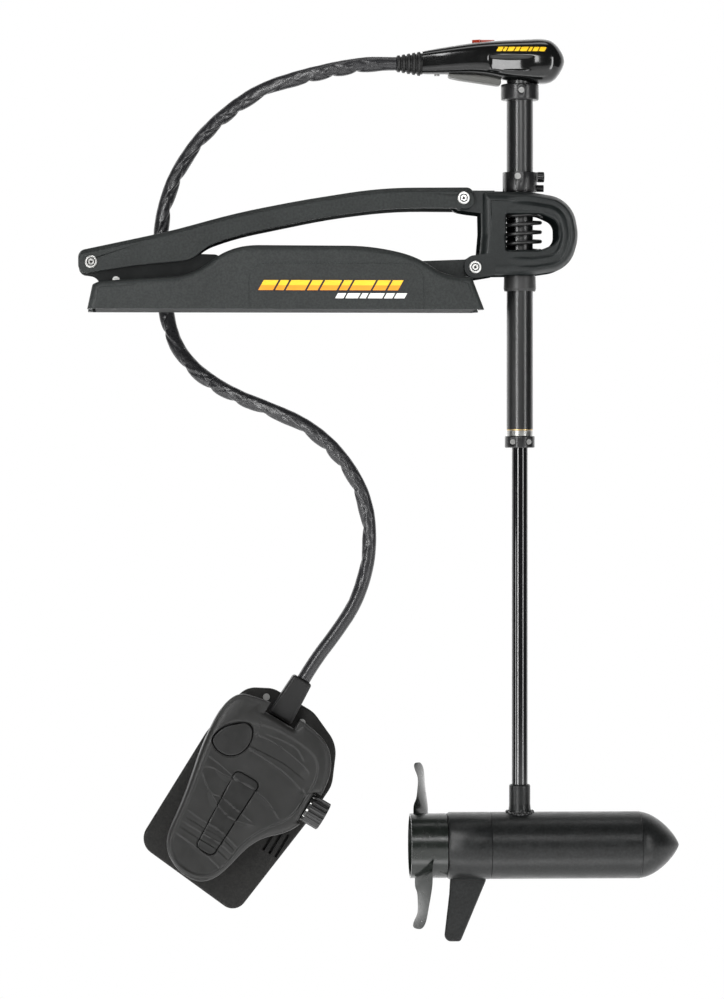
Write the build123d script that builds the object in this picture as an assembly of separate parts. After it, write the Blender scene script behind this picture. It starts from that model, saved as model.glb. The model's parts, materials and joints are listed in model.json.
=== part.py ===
from build123d import *
import math
import os

# Bow-mount, cable-steered trolling motor with its foot pedal, in millimetres.
# X points outboard over the bow, Z points up, and Y points to port.
# The origin is the middle of the mount's deck face; every main part is centred on Y = 0.

# ---------------------------------------------------------------- driving dimensions
FIT = 0.05                      # radial clearance of every running fit
GAP = 0.4                       # clearance between moving pieces that don't touch

# mount and stow linkage, all pivots run along Y
FLOOR_THICK = 4.0
CHEEK_IN, CHEEK_OUT = 33.0, 38.0            # side cheeks of the base frame
COVER_IN, COVER_OUT, COVER_WALL = 39.0, 72.0, 3.5
ARM_IN, ARM_OUT = 40.0, 48.0                # cheeks of the upper arm
LINK_HALF = 30.0                            # half width of the lower arm
ARM_PIVOT = (-263.7, 64.3)
ARM_TIP = (242.1, 152.3)
LINK_PIVOT = (-230.0, 40.0)
LINK_TIP = (258.2, 58.4)
PIVOT_R = 5.0                               # shank radius of the pivot bolts
PIVOT_HEAD_R = 8.4
OPEN_PIVOT_R = 8.6                          # slotted eye at the linkage's open pivot
DECK_BOLT_X, DECK_BOLT_Y, DECK_BOLT_R = 200.0, 52.0, 4.0

# bracket, depth collar and tubes, all on one vertical axis
SHAFT_X = 323.0
TUBE_R, TUBE_BORE = 18.1, 15.0
TUBE_LOW, TUBE_TOP = -162.0, 319.0
SHAFT_R, SHAFT_BORE = 11.0, 7.5
BRACKET_HALF = 44.0
BRACKET_SPLIT = 103.0
BRACKET_WALL_TOP = 146.0
SPRING_R, SPRING_WIRE, SPRING_PITCH = 27.8, 5.2, 12.8
SPRING_LOW, SPRING_TOP = 83.0, 140.0
COLLAR_LOW, COLLAR_TOP = 163.5, 190.0

# head
HEAD_HALF = 34.0
HEAD_WALL = 3.0
HEAD_SPLIT = 324.0
HEAD_RACK_Z = 340.0
BOOT_LEFT, BOOT_RIGHT, BOOT_Z = 153.6, 188.4, 338.5

# steering gear
MODULE = 1.25
PINION_TEETH = 14
PITCH_R = MODULE * PINION_TEETH / 2         # 8.75
BACKLASH = 0.25
INDICATOR_X = SHAFT_X - 13 * math.pi * MODULE       # a whole number of rack teeth from the shaft
SECTOR_TEETH = 74
SECTOR_R = MODULE * SECTOR_TEETH / 2        # 46.25, pitch radius of the pedal's toothed sector

# motor
POD_Z = -733.0
POD_R, POD_WALL = 46.0, 4.0
BELL_LEFT, CAN_LEFT, CAN_RIGHT, NOSE_TIP = 222.6, 282.2, 488.4, 542.7
SEAM = 0.5                                  # chamfer where the pod's castings meet
NOSE_JOINT = CAN_RIGHT + SEAM
HUB_LEFT, HUB_RIGHT, HUB_R = 172.0, 221.6, 44.5
PROP_TIP_R = 115.0
MOTOR_SHAFT_R = 5.0
SKEG_BOTTOM = -864.5

# pedal: local x runs across it, local y to its toe, local z up from the sole
PEDAL_CENTRE = (-81.1, 24.0, -684.9)
PEDAL_TOE = (0.511, 0.0, 0.8596)
HINGE_Y, HINGE_Z = 14.0, 56.0
HINGE_R = 3.0
ROCKER_TOP, ROCKER_PLATE = 72.0, 8.0
BASE_TOP = 12.0
KNOB_Y, KNOB_Z, KNOB_R = 63.0, 50.0, 20.0
BUTTON_RISE = 3.5

# cable sheath
SHEATH_R = 9.5

NODES = {}


# ---------------------------------------------------------------- small helpers
def outline(corners):
    """Closed face from (x, y, radius) corners joined by straight lines and tangent arcs."""
    count = len(corners)
    starts, mids, ends = [], [], []
    for i, (x, y, r) in enumerate(corners):
        here = Vector(x, y)
        back = (Vector(*corners[i - 1][:2]) - here).normalized()
        on = (Vector(*corners[(i + 1) % count][:2]) - here).normalized()
        if r == 0:
            starts.append(here)
            mids.append(None)
            ends.append(here)
            continue
        half = math.radians(back.get_angle(on)) / 2
        reach = r / math.tan(half)
        inward = (back + on).normalized()
        starts.append(here + back * reach)
        mids.append(here + inward * (r / math.sin(half) - r))
        ends.append(here + on * reach)
    edges = []
    for i in range(count):
        if mids[i] is not None:
            edges.append(ThreePointArc(starts[i], mids[i], ends[i]))
        follow = starts[(i + 1) % count]
        if (ends[i] - follow).length > 1e-6:
            edges.append(Line(ends[i], follow))
    return make_face(Wire(edges))


def slab(corners, y0, y1):
    """An outline in X and Z, extruded from y0 to y1 along Y."""
    plane = Plane(origin=(0, y0, 0), x_dir=(1, 0, 0), z_dir=(0, -1, 0))
    return extrude(plane * outline(corners), amount=y1 - y0, dir=(0, 1, 0))


def raised(face, z0, z1):
    """A flat face extruded from z0 to z1."""
    return extrude(Pos(0, 0, z0) * face, amount=z1 - z0, dir=(0, 0, 1))


def plate(corners, z0, z1):
    """An outline in local x and y, extruded from z0 to z1."""
    return raised(outline(corners), z0, z1)


def box(x0, x1, y0, y1, z0, z1):
    return Pos((x0 + x1) / 2, (y0 + y1) / 2, (z0 + z1) / 2) * Box(x1 - x0, y1 - y0, z1 - z0)


def rod_x(y, z, r, x0, x1):
    return Pos((x0 + x1) / 2, y, z) * Rot(0, 90, 0) * Cylinder(r, x1 - x0)


def rod_y(x, z, r, y0, y1):
    return Pos(x, (y0 + y1) / 2, z) * Rot(90, 0, 0) * Cylinder(r, y1 - y0)


def rod_z(x, y, r, z0, z1):
    return Pos(x, y, (z0 + z1) / 2) * Cylinder(r, z1 - z0)


def ring_z(x, y, r_out, r_in, z0, z1):
    return rod_z(x, y, r_out, z0, z1) - rod_z(x, y, r_in, z0 - 1, z1 + 1)


def ring_x(y, z, r_out, r_in, x0, x1):
    return rod_x(y, z, r_out, x0, x1) - rod_x(y, z, r_in, x0 - 1, x1 + 1)


def both(shape):
    """A shape and its mirror image across the middle plane, as separate solids."""
    return [shape, mirror(shape, Plane.XZ)]


def turned_x(profile, y, z):
    """A profile of (x, radius) points turned about a line along X."""
    face = make_face(Polyline([(x, r, 0) for x, r in profile], close=True))
    solid = revolve(face, Axis.X, 360)
    return Pos(0, y, z) * solid


def turned_z(profile, x, y):
    """A profile of (radius, z) points turned about a line along Z."""
    plane = Plane.XZ
    face = plane * make_face(Polyline(list(profile), close=True))
    return Pos(x, y, 0) * revolve(face, Axis.Z, 360)


def solids_of(shape):
    if isinstance(shape, (list, tuple)):
        return [solid for piece in shape for solid in solids_of(piece)]
    return list(shape.solids())


def common(a, b):
    """What two shapes share, as one shape."""
    shared = solids_of(a.intersect(b))
    return shared[0] if len(shared) == 1 else Compound(shared)


def soften(shape, edges, radii):
    """Round the edges with the first of the radii that the solid allows."""
    for r in radii:
        try:
            return fillet(edges, r)
        except Exception:
            continue
    return shape


def keep(name, shape):
    NODES[name] = solids_of(shape)


def involute(base_r, r):
    """The polar angle of an involute at radius r."""
    reach = math.sqrt(max((r / base_r) ** 2 - 1, 0))
    return reach - math.atan(reach)


def gear_face(teeth, first, last, rim_r):
    """Involute teeth first..last of a wheel of the given tooth count, stub form, on a rim."""
    pitch_r = MODULE * teeth / 2
    tip_r, root_r = pitch_r + 0.8 * MODULE, pitch_r - 1.05 * MODULE
    base_r = pitch_r * math.cos(math.radians(20))
    half_at_pitch = (math.pi * MODULE / 2 - BACKLASH) / 2 / pitch_r
    steps = 4
    points = []
    for tooth in range(first, last + 1):
        middle = 2 * math.pi * tooth / teeth
        flank = []
        for step in range(steps + 1):
            r = max(root_r, base_r) + (tip_r - max(root_r, base_r)) * step / steps
            half = half_at_pitch + involute(base_r, pitch_r) - involute(base_r, r)
            flank.append((r, half))
        if root_r < base_r:
            flank.insert(0, (root_r, flank[0][1]))
        side_a = [(r * math.cos(middle - h), r * math.sin(middle - h)) for r, h in flank]
        side_b = [(r * math.cos(middle + h), r * math.sin(middle + h)) for r, h in flank]
        points += side_a + side_b[::-1]
    if last - first + 1 < teeth:
        low = 2 * math.pi * (first - 0.5) / teeth
        high = 2 * math.pi * (last + 0.5) / teeth
        points = [(root_r * math.cos(low), root_r * math.sin(low))] + points
        points.append((root_r * math.cos(high), root_r * math.sin(high)))
        points.append((rim_r * math.cos(high), rim_r * math.sin(high)))
        points.append((rim_r * math.cos(low), rim_r * math.sin(low)))
    return make_face(Polyline(points, close=True))


def rack_face(teeth, back):
    """A straight rack along x, pitch line at y = 0, teeth towards +y, back at y = -back."""
    pitch = math.pi * MODULE
    slope = math.tan(math.radians(20))
    top, root = 0.8 * MODULE, -1.05 * MODULE
    half = (pitch / 2 - BACKLASH) / 2
    start = -(teeth / 2) * pitch
    points = [(start, -back), (start, root)]
    for tooth in range(teeth):
        middle = start + (tooth + 0.5) * pitch
        points += [(middle - half + root * slope, root), (middle - half + top * slope, top),
                   (middle + half - top * slope, top), (middle + half - root * slope, root)]
    points += [(-start, root), (-start, -back)]
    return make_face(Polyline(points, close=True))


def pivot_bolt(x, z, y_in, y_out, r):
    """A bolt along +Y: a low chamfered head outside y_out with a dished face and a hexagon socket."""
    head_r, head_top = PIVOT_HEAD_R * r / PIVOT_R, y_out + 3.0
    head = rod_y(x, z, head_r, y_out, head_top)
    rim = head.edges().filter_by(GeomType.CIRCLE).sort_by(Axis.Y)[-1]
    head = chamfer(rim, 0.9)
    head -= rod_y(x, z, head_r * 0.68, head_top - 0.9, head_top + 1)
    socket = Plane(origin=(x, head_top, z), x_dir=(1, 0, 0), z_dir=(0, 1, 0)) * RegularPolygon(r * 0.64, 6)
    return head + rod_y(x, z, r, y_in, y_out) - extrude(socket, amount=-2.4)


def cap_screw(plane, r, length):
    """A small cap screw, its head on the plane's outer side and its shank going in."""
    head = Pos(0, 0, r * 0.5) * Cylinder(r * 1.8, r)
    slot = Pos(0, 0, r * 0.85) * Box(r * 2.6, r * 0.45, r * 0.5)
    shank = Pos(0, 0, -length / 2) * Cylinder(r, length)
    return plane * (head - slot + shank)


# ---------------------------------------------------------------- mount
COVER_EDGE = [(-268.8, 0, 0), (-261.8, 33, 4), (-252.0, 37.6, 6), (-128, 45.5, 88), (-76, 84.5, 98),
              (-40, 86.6, 90), (118, 86.0, 300), (178, 71.5, 138), (216, 46.0, 70), (252.0, 44.0, 5),
              (268.9, 0, 0)]
CHEEK_EDGE = [(-258, 0, 0), (-250, 46, 14), (-279, 50, 14), (-279, 80, 15), (-92, 75, 10),
              (-60, 30, 20), (240, 30, 8), (258, 0, 0)]
COVER_POSTS = (-150.0, 20.0, 170.0)
POST_Z, POST_R, POST_SCREW_R = 16.0, 6.5, 2.5


def base_frame():
    floor = box(-258, 258, -64, 64, 0, FLOOR_THICK)
    cheek = slab(CHEEK_EDGE, CHEEK_IN, CHEEK_OUT)
    cheek -= rod_y(*ARM_PIVOT, PIVOT_R, CHEEK_IN - 1, CHEEK_OUT + 1)
    cheek -= rod_y(*LINK_PIVOT, PIVOT_R, CHEEK_IN - 1, CHEEK_OUT + 1)
    for x in COVER_POSTS:
        cheek -= rod_y(x, POST_Z, POST_SCREW_R, CHEEK_IN - 1, CHEEK_OUT + 1)
    frame = floor + cheek + mirror(cheek, Plane.XZ)
    for x in (-DECK_BOLT_X, DECK_BOLT_X):
        for y in (-DECK_BOLT_Y, DECK_BOLT_Y):
            frame -= rod_z(x, y, DECK_BOLT_R, -1, FLOOR_THICK + 1)
    for x in (-110.0, 90.0):
        frame += box(x - 3, x + 3, -CHEEK_IN, CHEEK_IN, FLOOR_THICK, 18)
    return frame


def side_cover():
    """The rear (+Y) cover; the front one is its mirror image."""
    shell = slab(COVER_EDGE, COVER_IN, COVER_OUT)
    outer = shell.faces().sort_by(Axis.Y)[-1]
    rim = [e for e in outer.edges() if e.center().Z > 1]
    shell = soften(shell, rim, (9.0, 7.0, 5.0))
    inner_face = offset(outline(COVER_EDGE), -COVER_WALL)
    plane = Plane(origin=(0, COVER_IN - 1, 0), x_dir=(1, 0, 0), z_dir=(0, -1, 0))
    cavity = extrude(plane * inner_face, amount=COVER_OUT - COVER_WALL - 1.2 - COVER_IN + 1, dir=(0, 1, 0))
    cavity += box(-262, 262, COVER_IN - 1, COVER_OUT - COVER_WALL - 1.2, -1, 6)
    panel = slab([(-50.8, -2, 0), (-50.8, 62.3, 24), (186.9, 62.3, 24), (186.9, -2, 0)],
                 COVER_OUT - 1.2, COVER_OUT + 2)
    shell = shell - cavity - panel
    for x in COVER_POSTS:
        post = rod_y(x, POST_Z, POST_R, CHEEK_OUT, COVER_OUT - COVER_WALL - 1)
        shell += post - rod_y(x, POST_Z, POST_SCREW_R, CHEEK_OUT - 1, COVER_OUT - 12)
    return shell


def mount():
    keep("base_frame", base_frame())
    rear = side_cover()
    keep("side_cover_rear", rear)
    keep("side_cover_front", mirror(rear, Plane.XZ))
    screws = []
    for x in COVER_POSTS:
        seat = Plane(origin=(x, CHEEK_IN, POST_Z), x_dir=(1, 0, 0), z_dir=(0, -1, 0))
        screws += both(cap_screw(seat, POST_SCREW_R, 18))
    keep("cover_screws", screws)
    keep("arm_pivot_bolts", both(pivot_bolt(*ARM_PIVOT, CHEEK_IN - 4, ARM_OUT + GAP, PIVOT_R)))
    pin = rod_y(*LINK_PIVOT, PIVOT_R, -CHEEK_OUT, CHEEK_OUT)
    keep("lower_arm_pivot_pin", pin)


# ---------------------------------------------------------------- linkage
ARM_TOP_EDGE = [(-157, 106.2, 1000), (-66, 131.5, 1000), (20, 148.5, 1500), (130, 166.2, 600)]
ARM_BEVEL = 6.0
ARM_WEB = 6.0                               # thickness of the arm's top web


def arm_outline(drop):
    """The arm seen from the side, its top edge lowered by drop to make the bevel."""
    edge = [(-280.7, 47.3, 11), (-281.5, 79.5 - drop, 11)]
    edge += [(x, z - drop, r) for x, z, r in ARM_TOP_EDGE]
    edge += [(256.5, 167.0 - drop, 10), (256.0, 138.2, 10), (150, 138.6, 600), (62, 127.4, 900),
             (-66.7, 100.5, 400), (-106, 86, 60), (-128, 66.8, 40), (-200, 60, 500)]
    return outline(edge)


def upper_arm():
    middle = ARM_OUT - ARM_BEVEL
    sides = [Plane(origin=(0, y, 0), x_dir=(1, 0, 0), z_dir=(0, -1, 0)) for y in (middle, ARM_OUT)]
    arm = extrude(sides[0] * arm_outline(0), amount=2 * middle, dir=(0, -1, 0))
    bevelled = loft([sides[0] * arm_outline(0), sides[1] * arm_outline(ARM_BEVEL)], ruled=True)
    arm = arm + bevelled + mirror(bevelled, Plane.XZ)
    inner = [(-300, 20, 0), (-300, 150, 0), (-236, 150, 0)]
    inner += [(x, z - ARM_WEB, 0) for x, z, r in [(-236, 87.4, 0)] + ARM_TOP_EDGE + [(215, 166.7, 0)]]
    inner += [(215, 200, 0), (300, 200, 0), (300, 20, 0)]
    arm -= slab(inner, -ARM_IN, ARM_IN)
    arm -= rod_y(*ARM_PIVOT, PIVOT_R + FIT, -60, 60)
    arm -= rod_y(*ARM_TIP, PIVOT_R, -60, 60)
    return arm


def lower_arm():
    """A box-section link with a fork-free eye at each end; the outboard eye has the open pivot."""
    dx, dz = LINK_TIP[0] - LINK_PIVOT[0], LINK_TIP[1] - LINK_PIVOT[1]
    length = math.hypot(dx, dz)
    half = 11.5
    edge = [(-half, -half, half - 0.1), (-half, half, half - 0.1),
            (length + half + 1, half, half), (length + half + 1, -half, half)]
    bar = slab(edge, -LINK_HALF, LINK_HALF)
    pocket = slab([(24, -half - 5, 0), (24, half - 4, 4), (length - 26, half - 4, 4),
                   (length - 26, -half - 5, 0)], -LINK_HALF + 5, LINK_HALF - 5)
    bar -= pocket
    bar -= rod_y(0, 0, PIVOT_R + FIT, -60, 60)
    bar -= rod_y(length, 0, OPEN_PIVOT_R, -60, 60)
    turn = -math.degrees(math.atan2(dz, dx))
    return Pos(LINK_PIVOT[0], 0, LINK_PIVOT[1]) * Rot(0, turn, 0) * bar


def linkage():
    keep("upper_arm", upper_arm())
    keep("arm_tip_bolts", both(pivot_bolt(*ARM_TIP, 22, ARM_OUT, PIVOT_R)))
    keep("lower_arm", lower_arm())
    keep("lower_arm_tip_bolts", both(pivot_bolt(*LINK_TIP, 20, BRACKET_HALF, PIVOT_R)))


# ---------------------------------------------------------------- bracket and depth collar
BRACKET_EDGE = [(266, 163, 4), (335, 161.5, 120), (392, 152, 44), (401, 100, 60), (388, 56, 40),
                (340, 48.5, 70), (262, 47.5, 6), (267, 106, 40)]
WINDOW_EDGE = [(300.7, 131.5, 3), (348, 131.5, 22), (372, 121, 16), (372, 92, 16), (348, 82.2, 22),
               (300.7, 82.2, 3)]


def bracket_body():
    body = slab(BRACKET_EDGE, -BRACKET_HALF, BRACKET_HALF)
    rims = [e for e in body.edges() if abs(abs(e.center().Y) - BRACKET_HALF) < 0.01]
    body = soften(body, [e for e in rims if e.center().X > 275], (14.0, 11.0, 8.0, 5.0))
    ear_r = 14.4
    upper_ear = slab([(ARM_TIP[0] - ear_r, 138, ear_r - 1), (ARM_TIP[0] - ear_r, 166.7, ear_r - 1),
                      (285, 166.7, 3), (285, 130, 0), (250, 134, 3)], -38, 38)
    lower_ear = slab([(LINK_TIP[0] - 14.7, 43.7, 14), (LINK_TIP[0] - 14.7, 73, 14), (285, 78, 0),
                      (285, 47.6, 0), (262, 43.7, 4)], -BRACKET_HALF, BRACKET_HALF)
    body = body + common(upper_ear, box(200, 285, -38, 38, 130, 163)) + lower_ear
    link_room = LINK_HALF + 0.6
    body -= slab([(200, 20, 0), (200, 79, 0), (276, 83, 6), (276, 20, 0)], -link_room, link_room)
    body -= rod_y(*ARM_TIP, PIVOT_R + FIT, -60, 60)
    body -= rod_y(*LINK_TIP, PIVOT_R, -60, 60)
    body -= slab(WINDOW_EDGE, -60, 60)
    lips = [e for e in body.edges() if abs(abs(e.center().Y) - BRACKET_HALF) < 0.01
            and 330 < e.center().X < 373 and 80 < e.center().Z < 134]
    body = soften(body, lips, (4.0, 2.5, 1.5))
    body -= rod_z(SHAFT_X, 0, 32.5, 78, BRACKET_WALL_TOP)
    body -= rod_z(SHAFT_X, 0, TUBE_R + FIT, 100, 180)
    body -= rod_z(SHAFT_X, 0, 20.5, 30, 100)
    return body


def helix_spring(x, y, r, wire, pitch, z0, z1):
    path = Helix(pitch=pitch, height=z1 - z0, radius=r)
    start = Plane(origin=path @ 0, z_dir=path % 0)
    return Pos(x, y, z0) * sweep(start * Circle(wire / 2), path=path, is_frenet=True)


def bracket():
    body = bracket_body()
    wide = (150, 450, -80, 80)
    keep("bracket_upper_half", common(body, box(*wide, BRACKET_SPLIT, 220)))
    keep("bracket_lower_half", common(body, box(*wide, 0, BRACKET_SPLIT)))
    keep("breakaway_spring",
         helix_spring(SHAFT_X, 0, SPRING_R, SPRING_WIRE, SPRING_PITCH, SPRING_LOW, SPRING_TOP))
    bore = TUBE_R + FIT
    keep("bracket_bush", turned_z([(bore, 27.3), (21.2, 27.3), (22.2, 31), (21.7, 47.4), (20.5, 47.4),
                                   (20.5, 77.5), (bore, 77.5)], SHAFT_X, 0))
    ring = ring_z(SHAFT_X, 0, 23.6, bore, COLLAR_LOW, COLLAR_TOP)
    ring += common(box(301, 316, -13, 13, COLLAR_LOW, COLLAR_TOP),
                   ring_z(SHAFT_X, 0, 40, 21, COLLAR_LOW, COLLAR_TOP))
    ring += box(340, 347, -9, 9, 177, COLLAR_TOP) - rod_z(SHAFT_X, 0, 22, 160, 200)
    ring += rod_x(0, 168.5, 4.8, 340, 355.5) - rod_z(SHAFT_X, 0, 22, 160, 200)
    ring -= box(296, 312, -1, 1, 160, 200)
    ring -= rod_x(0, 184, 3 + FIT, 335, 360)
    ring -= box(311, 325, -30, -22, 177.5, 200)
    ring -= rod_y(318, 184, 2.4, -30, -19)
    keep("depth_collar", ring)
    seat = Plane(origin=(318, -22, 184), x_dir=(1, 0, 0), z_dir=(0, -1, 0))
    keep("depth_collar_screw", cap_screw(seat, 2.4, 2.8))
    knob = fluted_knob(7.2, 9.0, 10, 0.7)
    knob = Pos(347.4, 0, 184) * Rot(0, 90, 0) * knob
    keep("depth_knob", knob + rod_x(0, 184, 3, 342.5, 348))


def fluted_knob(r, height, flutes, depth):
    """A knob along +z from 0 to height, with shallow flutes round its side."""
    body = Pos(0, 0, height / 2) * Cylinder(r, height)
    top = body.edges().filter_by(GeomType.CIRCLE).sort_by(Axis.Z)[-1]
    body = fillet(top, min(1.5, height / 5))
    for i in range(flutes):
        angle = 2 * math.pi * i / flutes
        flute_r = depth * 2.6
        reach = r + flute_r - depth
        body -= Pos(reach * math.cos(angle), reach * math.sin(angle), height / 2) * Cylinder(flute_r, height + 2)
    return body


# ---------------------------------------------------------------- tube and head
HEAD_SIDE = [(188.4, 311, 0), (188.4, 355.5, 6), (258, 367.8, 60), (310, 371.6, 90), (360, 373.6, 14),
             (377, 362, 14), (384.6, 343, 8), (372, 312.5, 12), (351.4, 311, 4)]
HEAD_BELLY = [(279, 323.9, 0), (299.3, 316.5, 6), (351.4, 311, 10), (368, 314.5, 8), (376.5, 323.9, 0)]
HEAD_PLAN = [(188.4, -17, 4), (235, -29, 40), (285, -34, 60), (350, -34, 30), (384.6, -20, 18),
             (384.6, 20, 18), (350, 34, 30), (285, 34, 60), (235, 29, 40), (188.4, 17, 4)]


def head_blank(inset):
    side = Plane(origin=(0, -50, 0), x_dir=(1, 0, 0), z_dir=(0, -1, 0)) * offset(outline(HEAD_SIDE), -inset)
    plan = Pos(0, 0, 290) * offset(outline(HEAD_PLAN), -inset)
    return common(extrude(side, amount=100, dir=(0, 1, 0)), extrude(plan, amount=100, dir=(0, 0, 1)))


def head_upper_shell():
    outer = common(head_blank(0), box(180, 400, -60, 60, HEAD_SPLIT, 400))
    inner = common(head_blank(HEAD_WALL), box(180, 400, -60, 60, HEAD_SPLIT - 1, 400))
    shell = outer - inner
    for side in (-1, 1):
        scoop = rod_x(side * (HEAD_HALF + 17), 337, 19, 281, 339)
        shell -= scoop
    shell += rod_z(INDICATOR_X, 0, 18, 362.5, 367)
    shell -= rod_z(INDICATOR_X, 0, 16.8, 366.8, 400)
    shell -= rod_z(INDICATOR_X, 0, 4 + FIT, 350, 400)
    shell -= rod_x(0, BOOT_Z, 7, 180, 200)
    return shell


def head_lower_shell():
    tray = common(head_blank(HEAD_WALL + 0.2), box(180, 400, -60, 60, HEAD_SPLIT, HEAD_SPLIT + 3))
    belly = slab(HEAD_BELLY, -26, 26)
    skid = slab([(226.5, HEAD_SPLIT, 0), (295, HEAD_SPLIT, 0), (295, 318, 0), (270, 309.5, 6),
                 (233, 308.2, 6)], -14, 14)
    shell = tray + belly + skid
    shell -= slab([(290, HEAD_SPLIT, 0), (302, 319.5, 2), (350, 314.5, 4), (364, 317.5, 3),
                   (369, HEAD_SPLIT, 0)], -23, 23)
    shell += ring_z(SHAFT_X, 0, 21.5, TUBE_R, 313, HEAD_SPLIT)
    shell -= rod_z(SHAFT_X, 0, TUBE_R, 300, TUBE_TOP)
    shell -= rod_z(SHAFT_X, 0, SHAFT_R + 1, 300, 340)
    shell -= rod_z(209, 0, 2, 320, 330)
    return shell


def ribbed_boot():
    profile = [(BOOT_LEFT, 7.0)]
    ribs = 5
    step = (BOOT_RIGHT - BOOT_LEFT) / ribs
    for i in range(ribs):
        x = BOOT_LEFT + i * step
        r = 10.0 + 6.0 * (i + 0.5) / ribs
        profile += [(x, r - 0.4), (x + 0.16 * step, r + 0.9), (x + 0.58 * step, r + 1.2),
                    (x + 0.74 * step, r - 0.8), (x + step, r - 0.8)]
    profile.append((BOOT_RIGHT, 7.0))
    return turned_x(profile, 0, BOOT_Z)


def steering_gear():
    """The rack behind the shaft turns with both pinions, so cable, shaft and pointer agree."""
    low, high = HEAD_RACK_Z - 4, HEAD_RACK_Z + 4
    pinion = extrude(Pos(SHAFT_X, 0, low) * Rot(0, 0, 90) * gear_face(PINION_TEETH, 0, PINION_TEETH - 1, 0),
                     amount=8)
    keep("steering_pinion", pinion + rod_z(SHAFT_X, 0, 5, low - 6, low) - rod_z(SHAFT_X, 0, 3.4, low - 7, high + 1))
    teeth = 32
    pitch = math.pi * MODULE
    middle = SHAFT_X - 7 * pitch
    rack = extrude(Pos(middle, PITCH_R, low) * Rot(0, 0, 180) * rack_face(teeth, 7), amount=8)
    arm_left = middle - teeth * pitch / 2
    rack += box(arm_left - 4, arm_left + 2, -3, PITCH_R + 7, low, high)
    keep("steering_rack", rack)
    ends = (arm_left - 4, middle + teeth * pitch / 2)
    wall_y = PITCH_R + 7 + GAP
    guide = box(ends[0] + 24, ends[1] - 4, wall_y, wall_y + 2.5, 327, high + 3)
    guide += box(ends[0] + 24, ends[1] - 4, PITCH_R + 3, wall_y + 1, 327, low - GAP)
    keep("rack_guide", guide)
    wheel = extrude(Pos(INDICATOR_X, 0, low) * Rot(0, 0, 90) * gear_face(PINION_TEETH, 0, PINION_TEETH - 1, 0),
                    amount=8)
    stem = rod_z(INDICATOR_X, 0, 4, high, 369)
    arrow = plate([(-15.5, 0, 1), (-3, 8.5, 1), (-4.5, 3.6, 1), (16, 2.6, 1.5), (16, -2.6, 1.5),
                   (-4.5, -3.6, 1), (-3, -8.5, 1)], 367.4, 371.6)
    keep("direction_indicator", wheel + stem + Pos(INDICATOR_X, 0, 0) * arrow)


def tube_and_head():
    tube = ring_z(SHAFT_X, 0, TUBE_R, TUBE_BORE, TUBE_LOW, TUBE_TOP)
    keep("outer_tube", tube)
    low_bush = turned_z([(SHAFT_R + FIT, -163.6), (TUBE_R - 0.4, -163.6), (TUBE_R - 0.4, TUBE_LOW),
                         (TUBE_BORE, TUBE_LOW), (TUBE_BORE, -140), (SHAFT_R + FIT, -140)], SHAFT_X, 0)
    top_bush = ring_z(SHAFT_X, 0, TUBE_BORE, SHAFT_R + FIT, 296, TUBE_TOP)
    keep("shaft_bushes", [low_bush, top_bush])
    keep("head_upper_shell", head_upper_shell())
    keep("head_lower_shell", head_lower_shell())
    collar = ring_z(SHAFT_X, 0, 26.0, TUBE_R, 289, 310.8)
    rims = collar.edges().filter_by(GeomType.CIRCLE).sort_by(SortBy.RADIUS)[-2:]
    collar = fillet(rims, 2.0)
    collar -= rod_y(SHAFT_X, 301.5, 4.6, -30, -23.5)
    collar -= rod_y(SHAFT_X, 301.5, 2.2, -30, -18)
    keep("head_collar", collar)
    seat = Plane(origin=(SHAFT_X, -23.5, 301.5), x_dir=(1, 0, 0), z_dir=(0, -1, 0))
    small_seat = Plane(origin=(209, 0, HEAD_SPLIT), x_dir=(1, 0, 0), z_dir=(0, 0, -1))
    keep("head_screws", [cap_screw(seat, 2.2, 5.3), cap_screw(small_seat, 2.0, 3.0)])
    keep("cable_boot", ribbed_boot())
    steering_gear()


# ---------------------------------------------------------------- shaft and motor
def motor_housing():
    inner_r = POD_R - POD_WALL
    can = turned_x([(CAN_LEFT, inner_r), (CAN_LEFT, POD_R - SEAM), (CAN_LEFT + SEAM, POD_R),
                    (CAN_RIGHT - SEAM, POD_R), (CAN_RIGHT, POD_R - SEAM), (CAN_RIGHT, inner_r)], 0, POD_Z)
    neck = turned_z([(SHAFT_R, -692), (17.5, -692), (15.4, -684), (14.5, -676), (14.5, -651),
                     (13.2, -649), (SHAFT_R, -649)], SHAFT_X, 0)
    saddle = rod_z(SHAFT_X, 0, 17.5, -700, -686) - rod_x(0, POD_Z, POD_R - 1, CAN_LEFT, CAN_RIGHT)
    boss = neck + saddle - rod_z(SHAFT_X, 0, SHAFT_R, -690, -640)
    boss -= rod_x(0, POD_Z, POD_R - POD_WALL, CAN_LEFT, CAN_RIGHT)
    return can + boss - rod_z(SHAFT_X, 0, SHAFT_BORE, -700, -680)


def nose_cap():
    """A pointed dome on the can's end, with a spigot inside the can and a bearing seat."""
    shoulder = (NOSE_JOINT, POD_R - SEAM)
    shares = [1 - (1 - i / 9) ** 2 for i in range(10)]
    dome = Spline(*[(NOSE_JOINT + (NOSE_TIP - NOSE_JOINT) * t, (POD_R - SEAM) * (1 - t ** 1.6) ** 0.76)
                    for t in shares])
    base = Polyline((NOSE_TIP, 0.0), (CAN_RIGHT, 0.0), (CAN_RIGHT, POD_R - 2 * SEAM), shoulder)
    cap = Pos(0, 0, POD_Z) * revolve(make_face(Wire([dome] + base.edges())), Axis.X, 360)
    spigot_r = POD_R - POD_WALL
    cap -= rod_x(0, POD_Z, spigot_r - 3, CAN_RIGHT - 1, CAN_RIGHT + 14)
    cap += ring_x(0, POD_Z, spigot_r, spigot_r - 3, CAN_RIGHT - 5, CAN_RIGHT + 1)
    cap += ring_x(0, POD_Z, 14, 11, CAN_RIGHT - 1, CAN_RIGHT + 16)
    return cap


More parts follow.
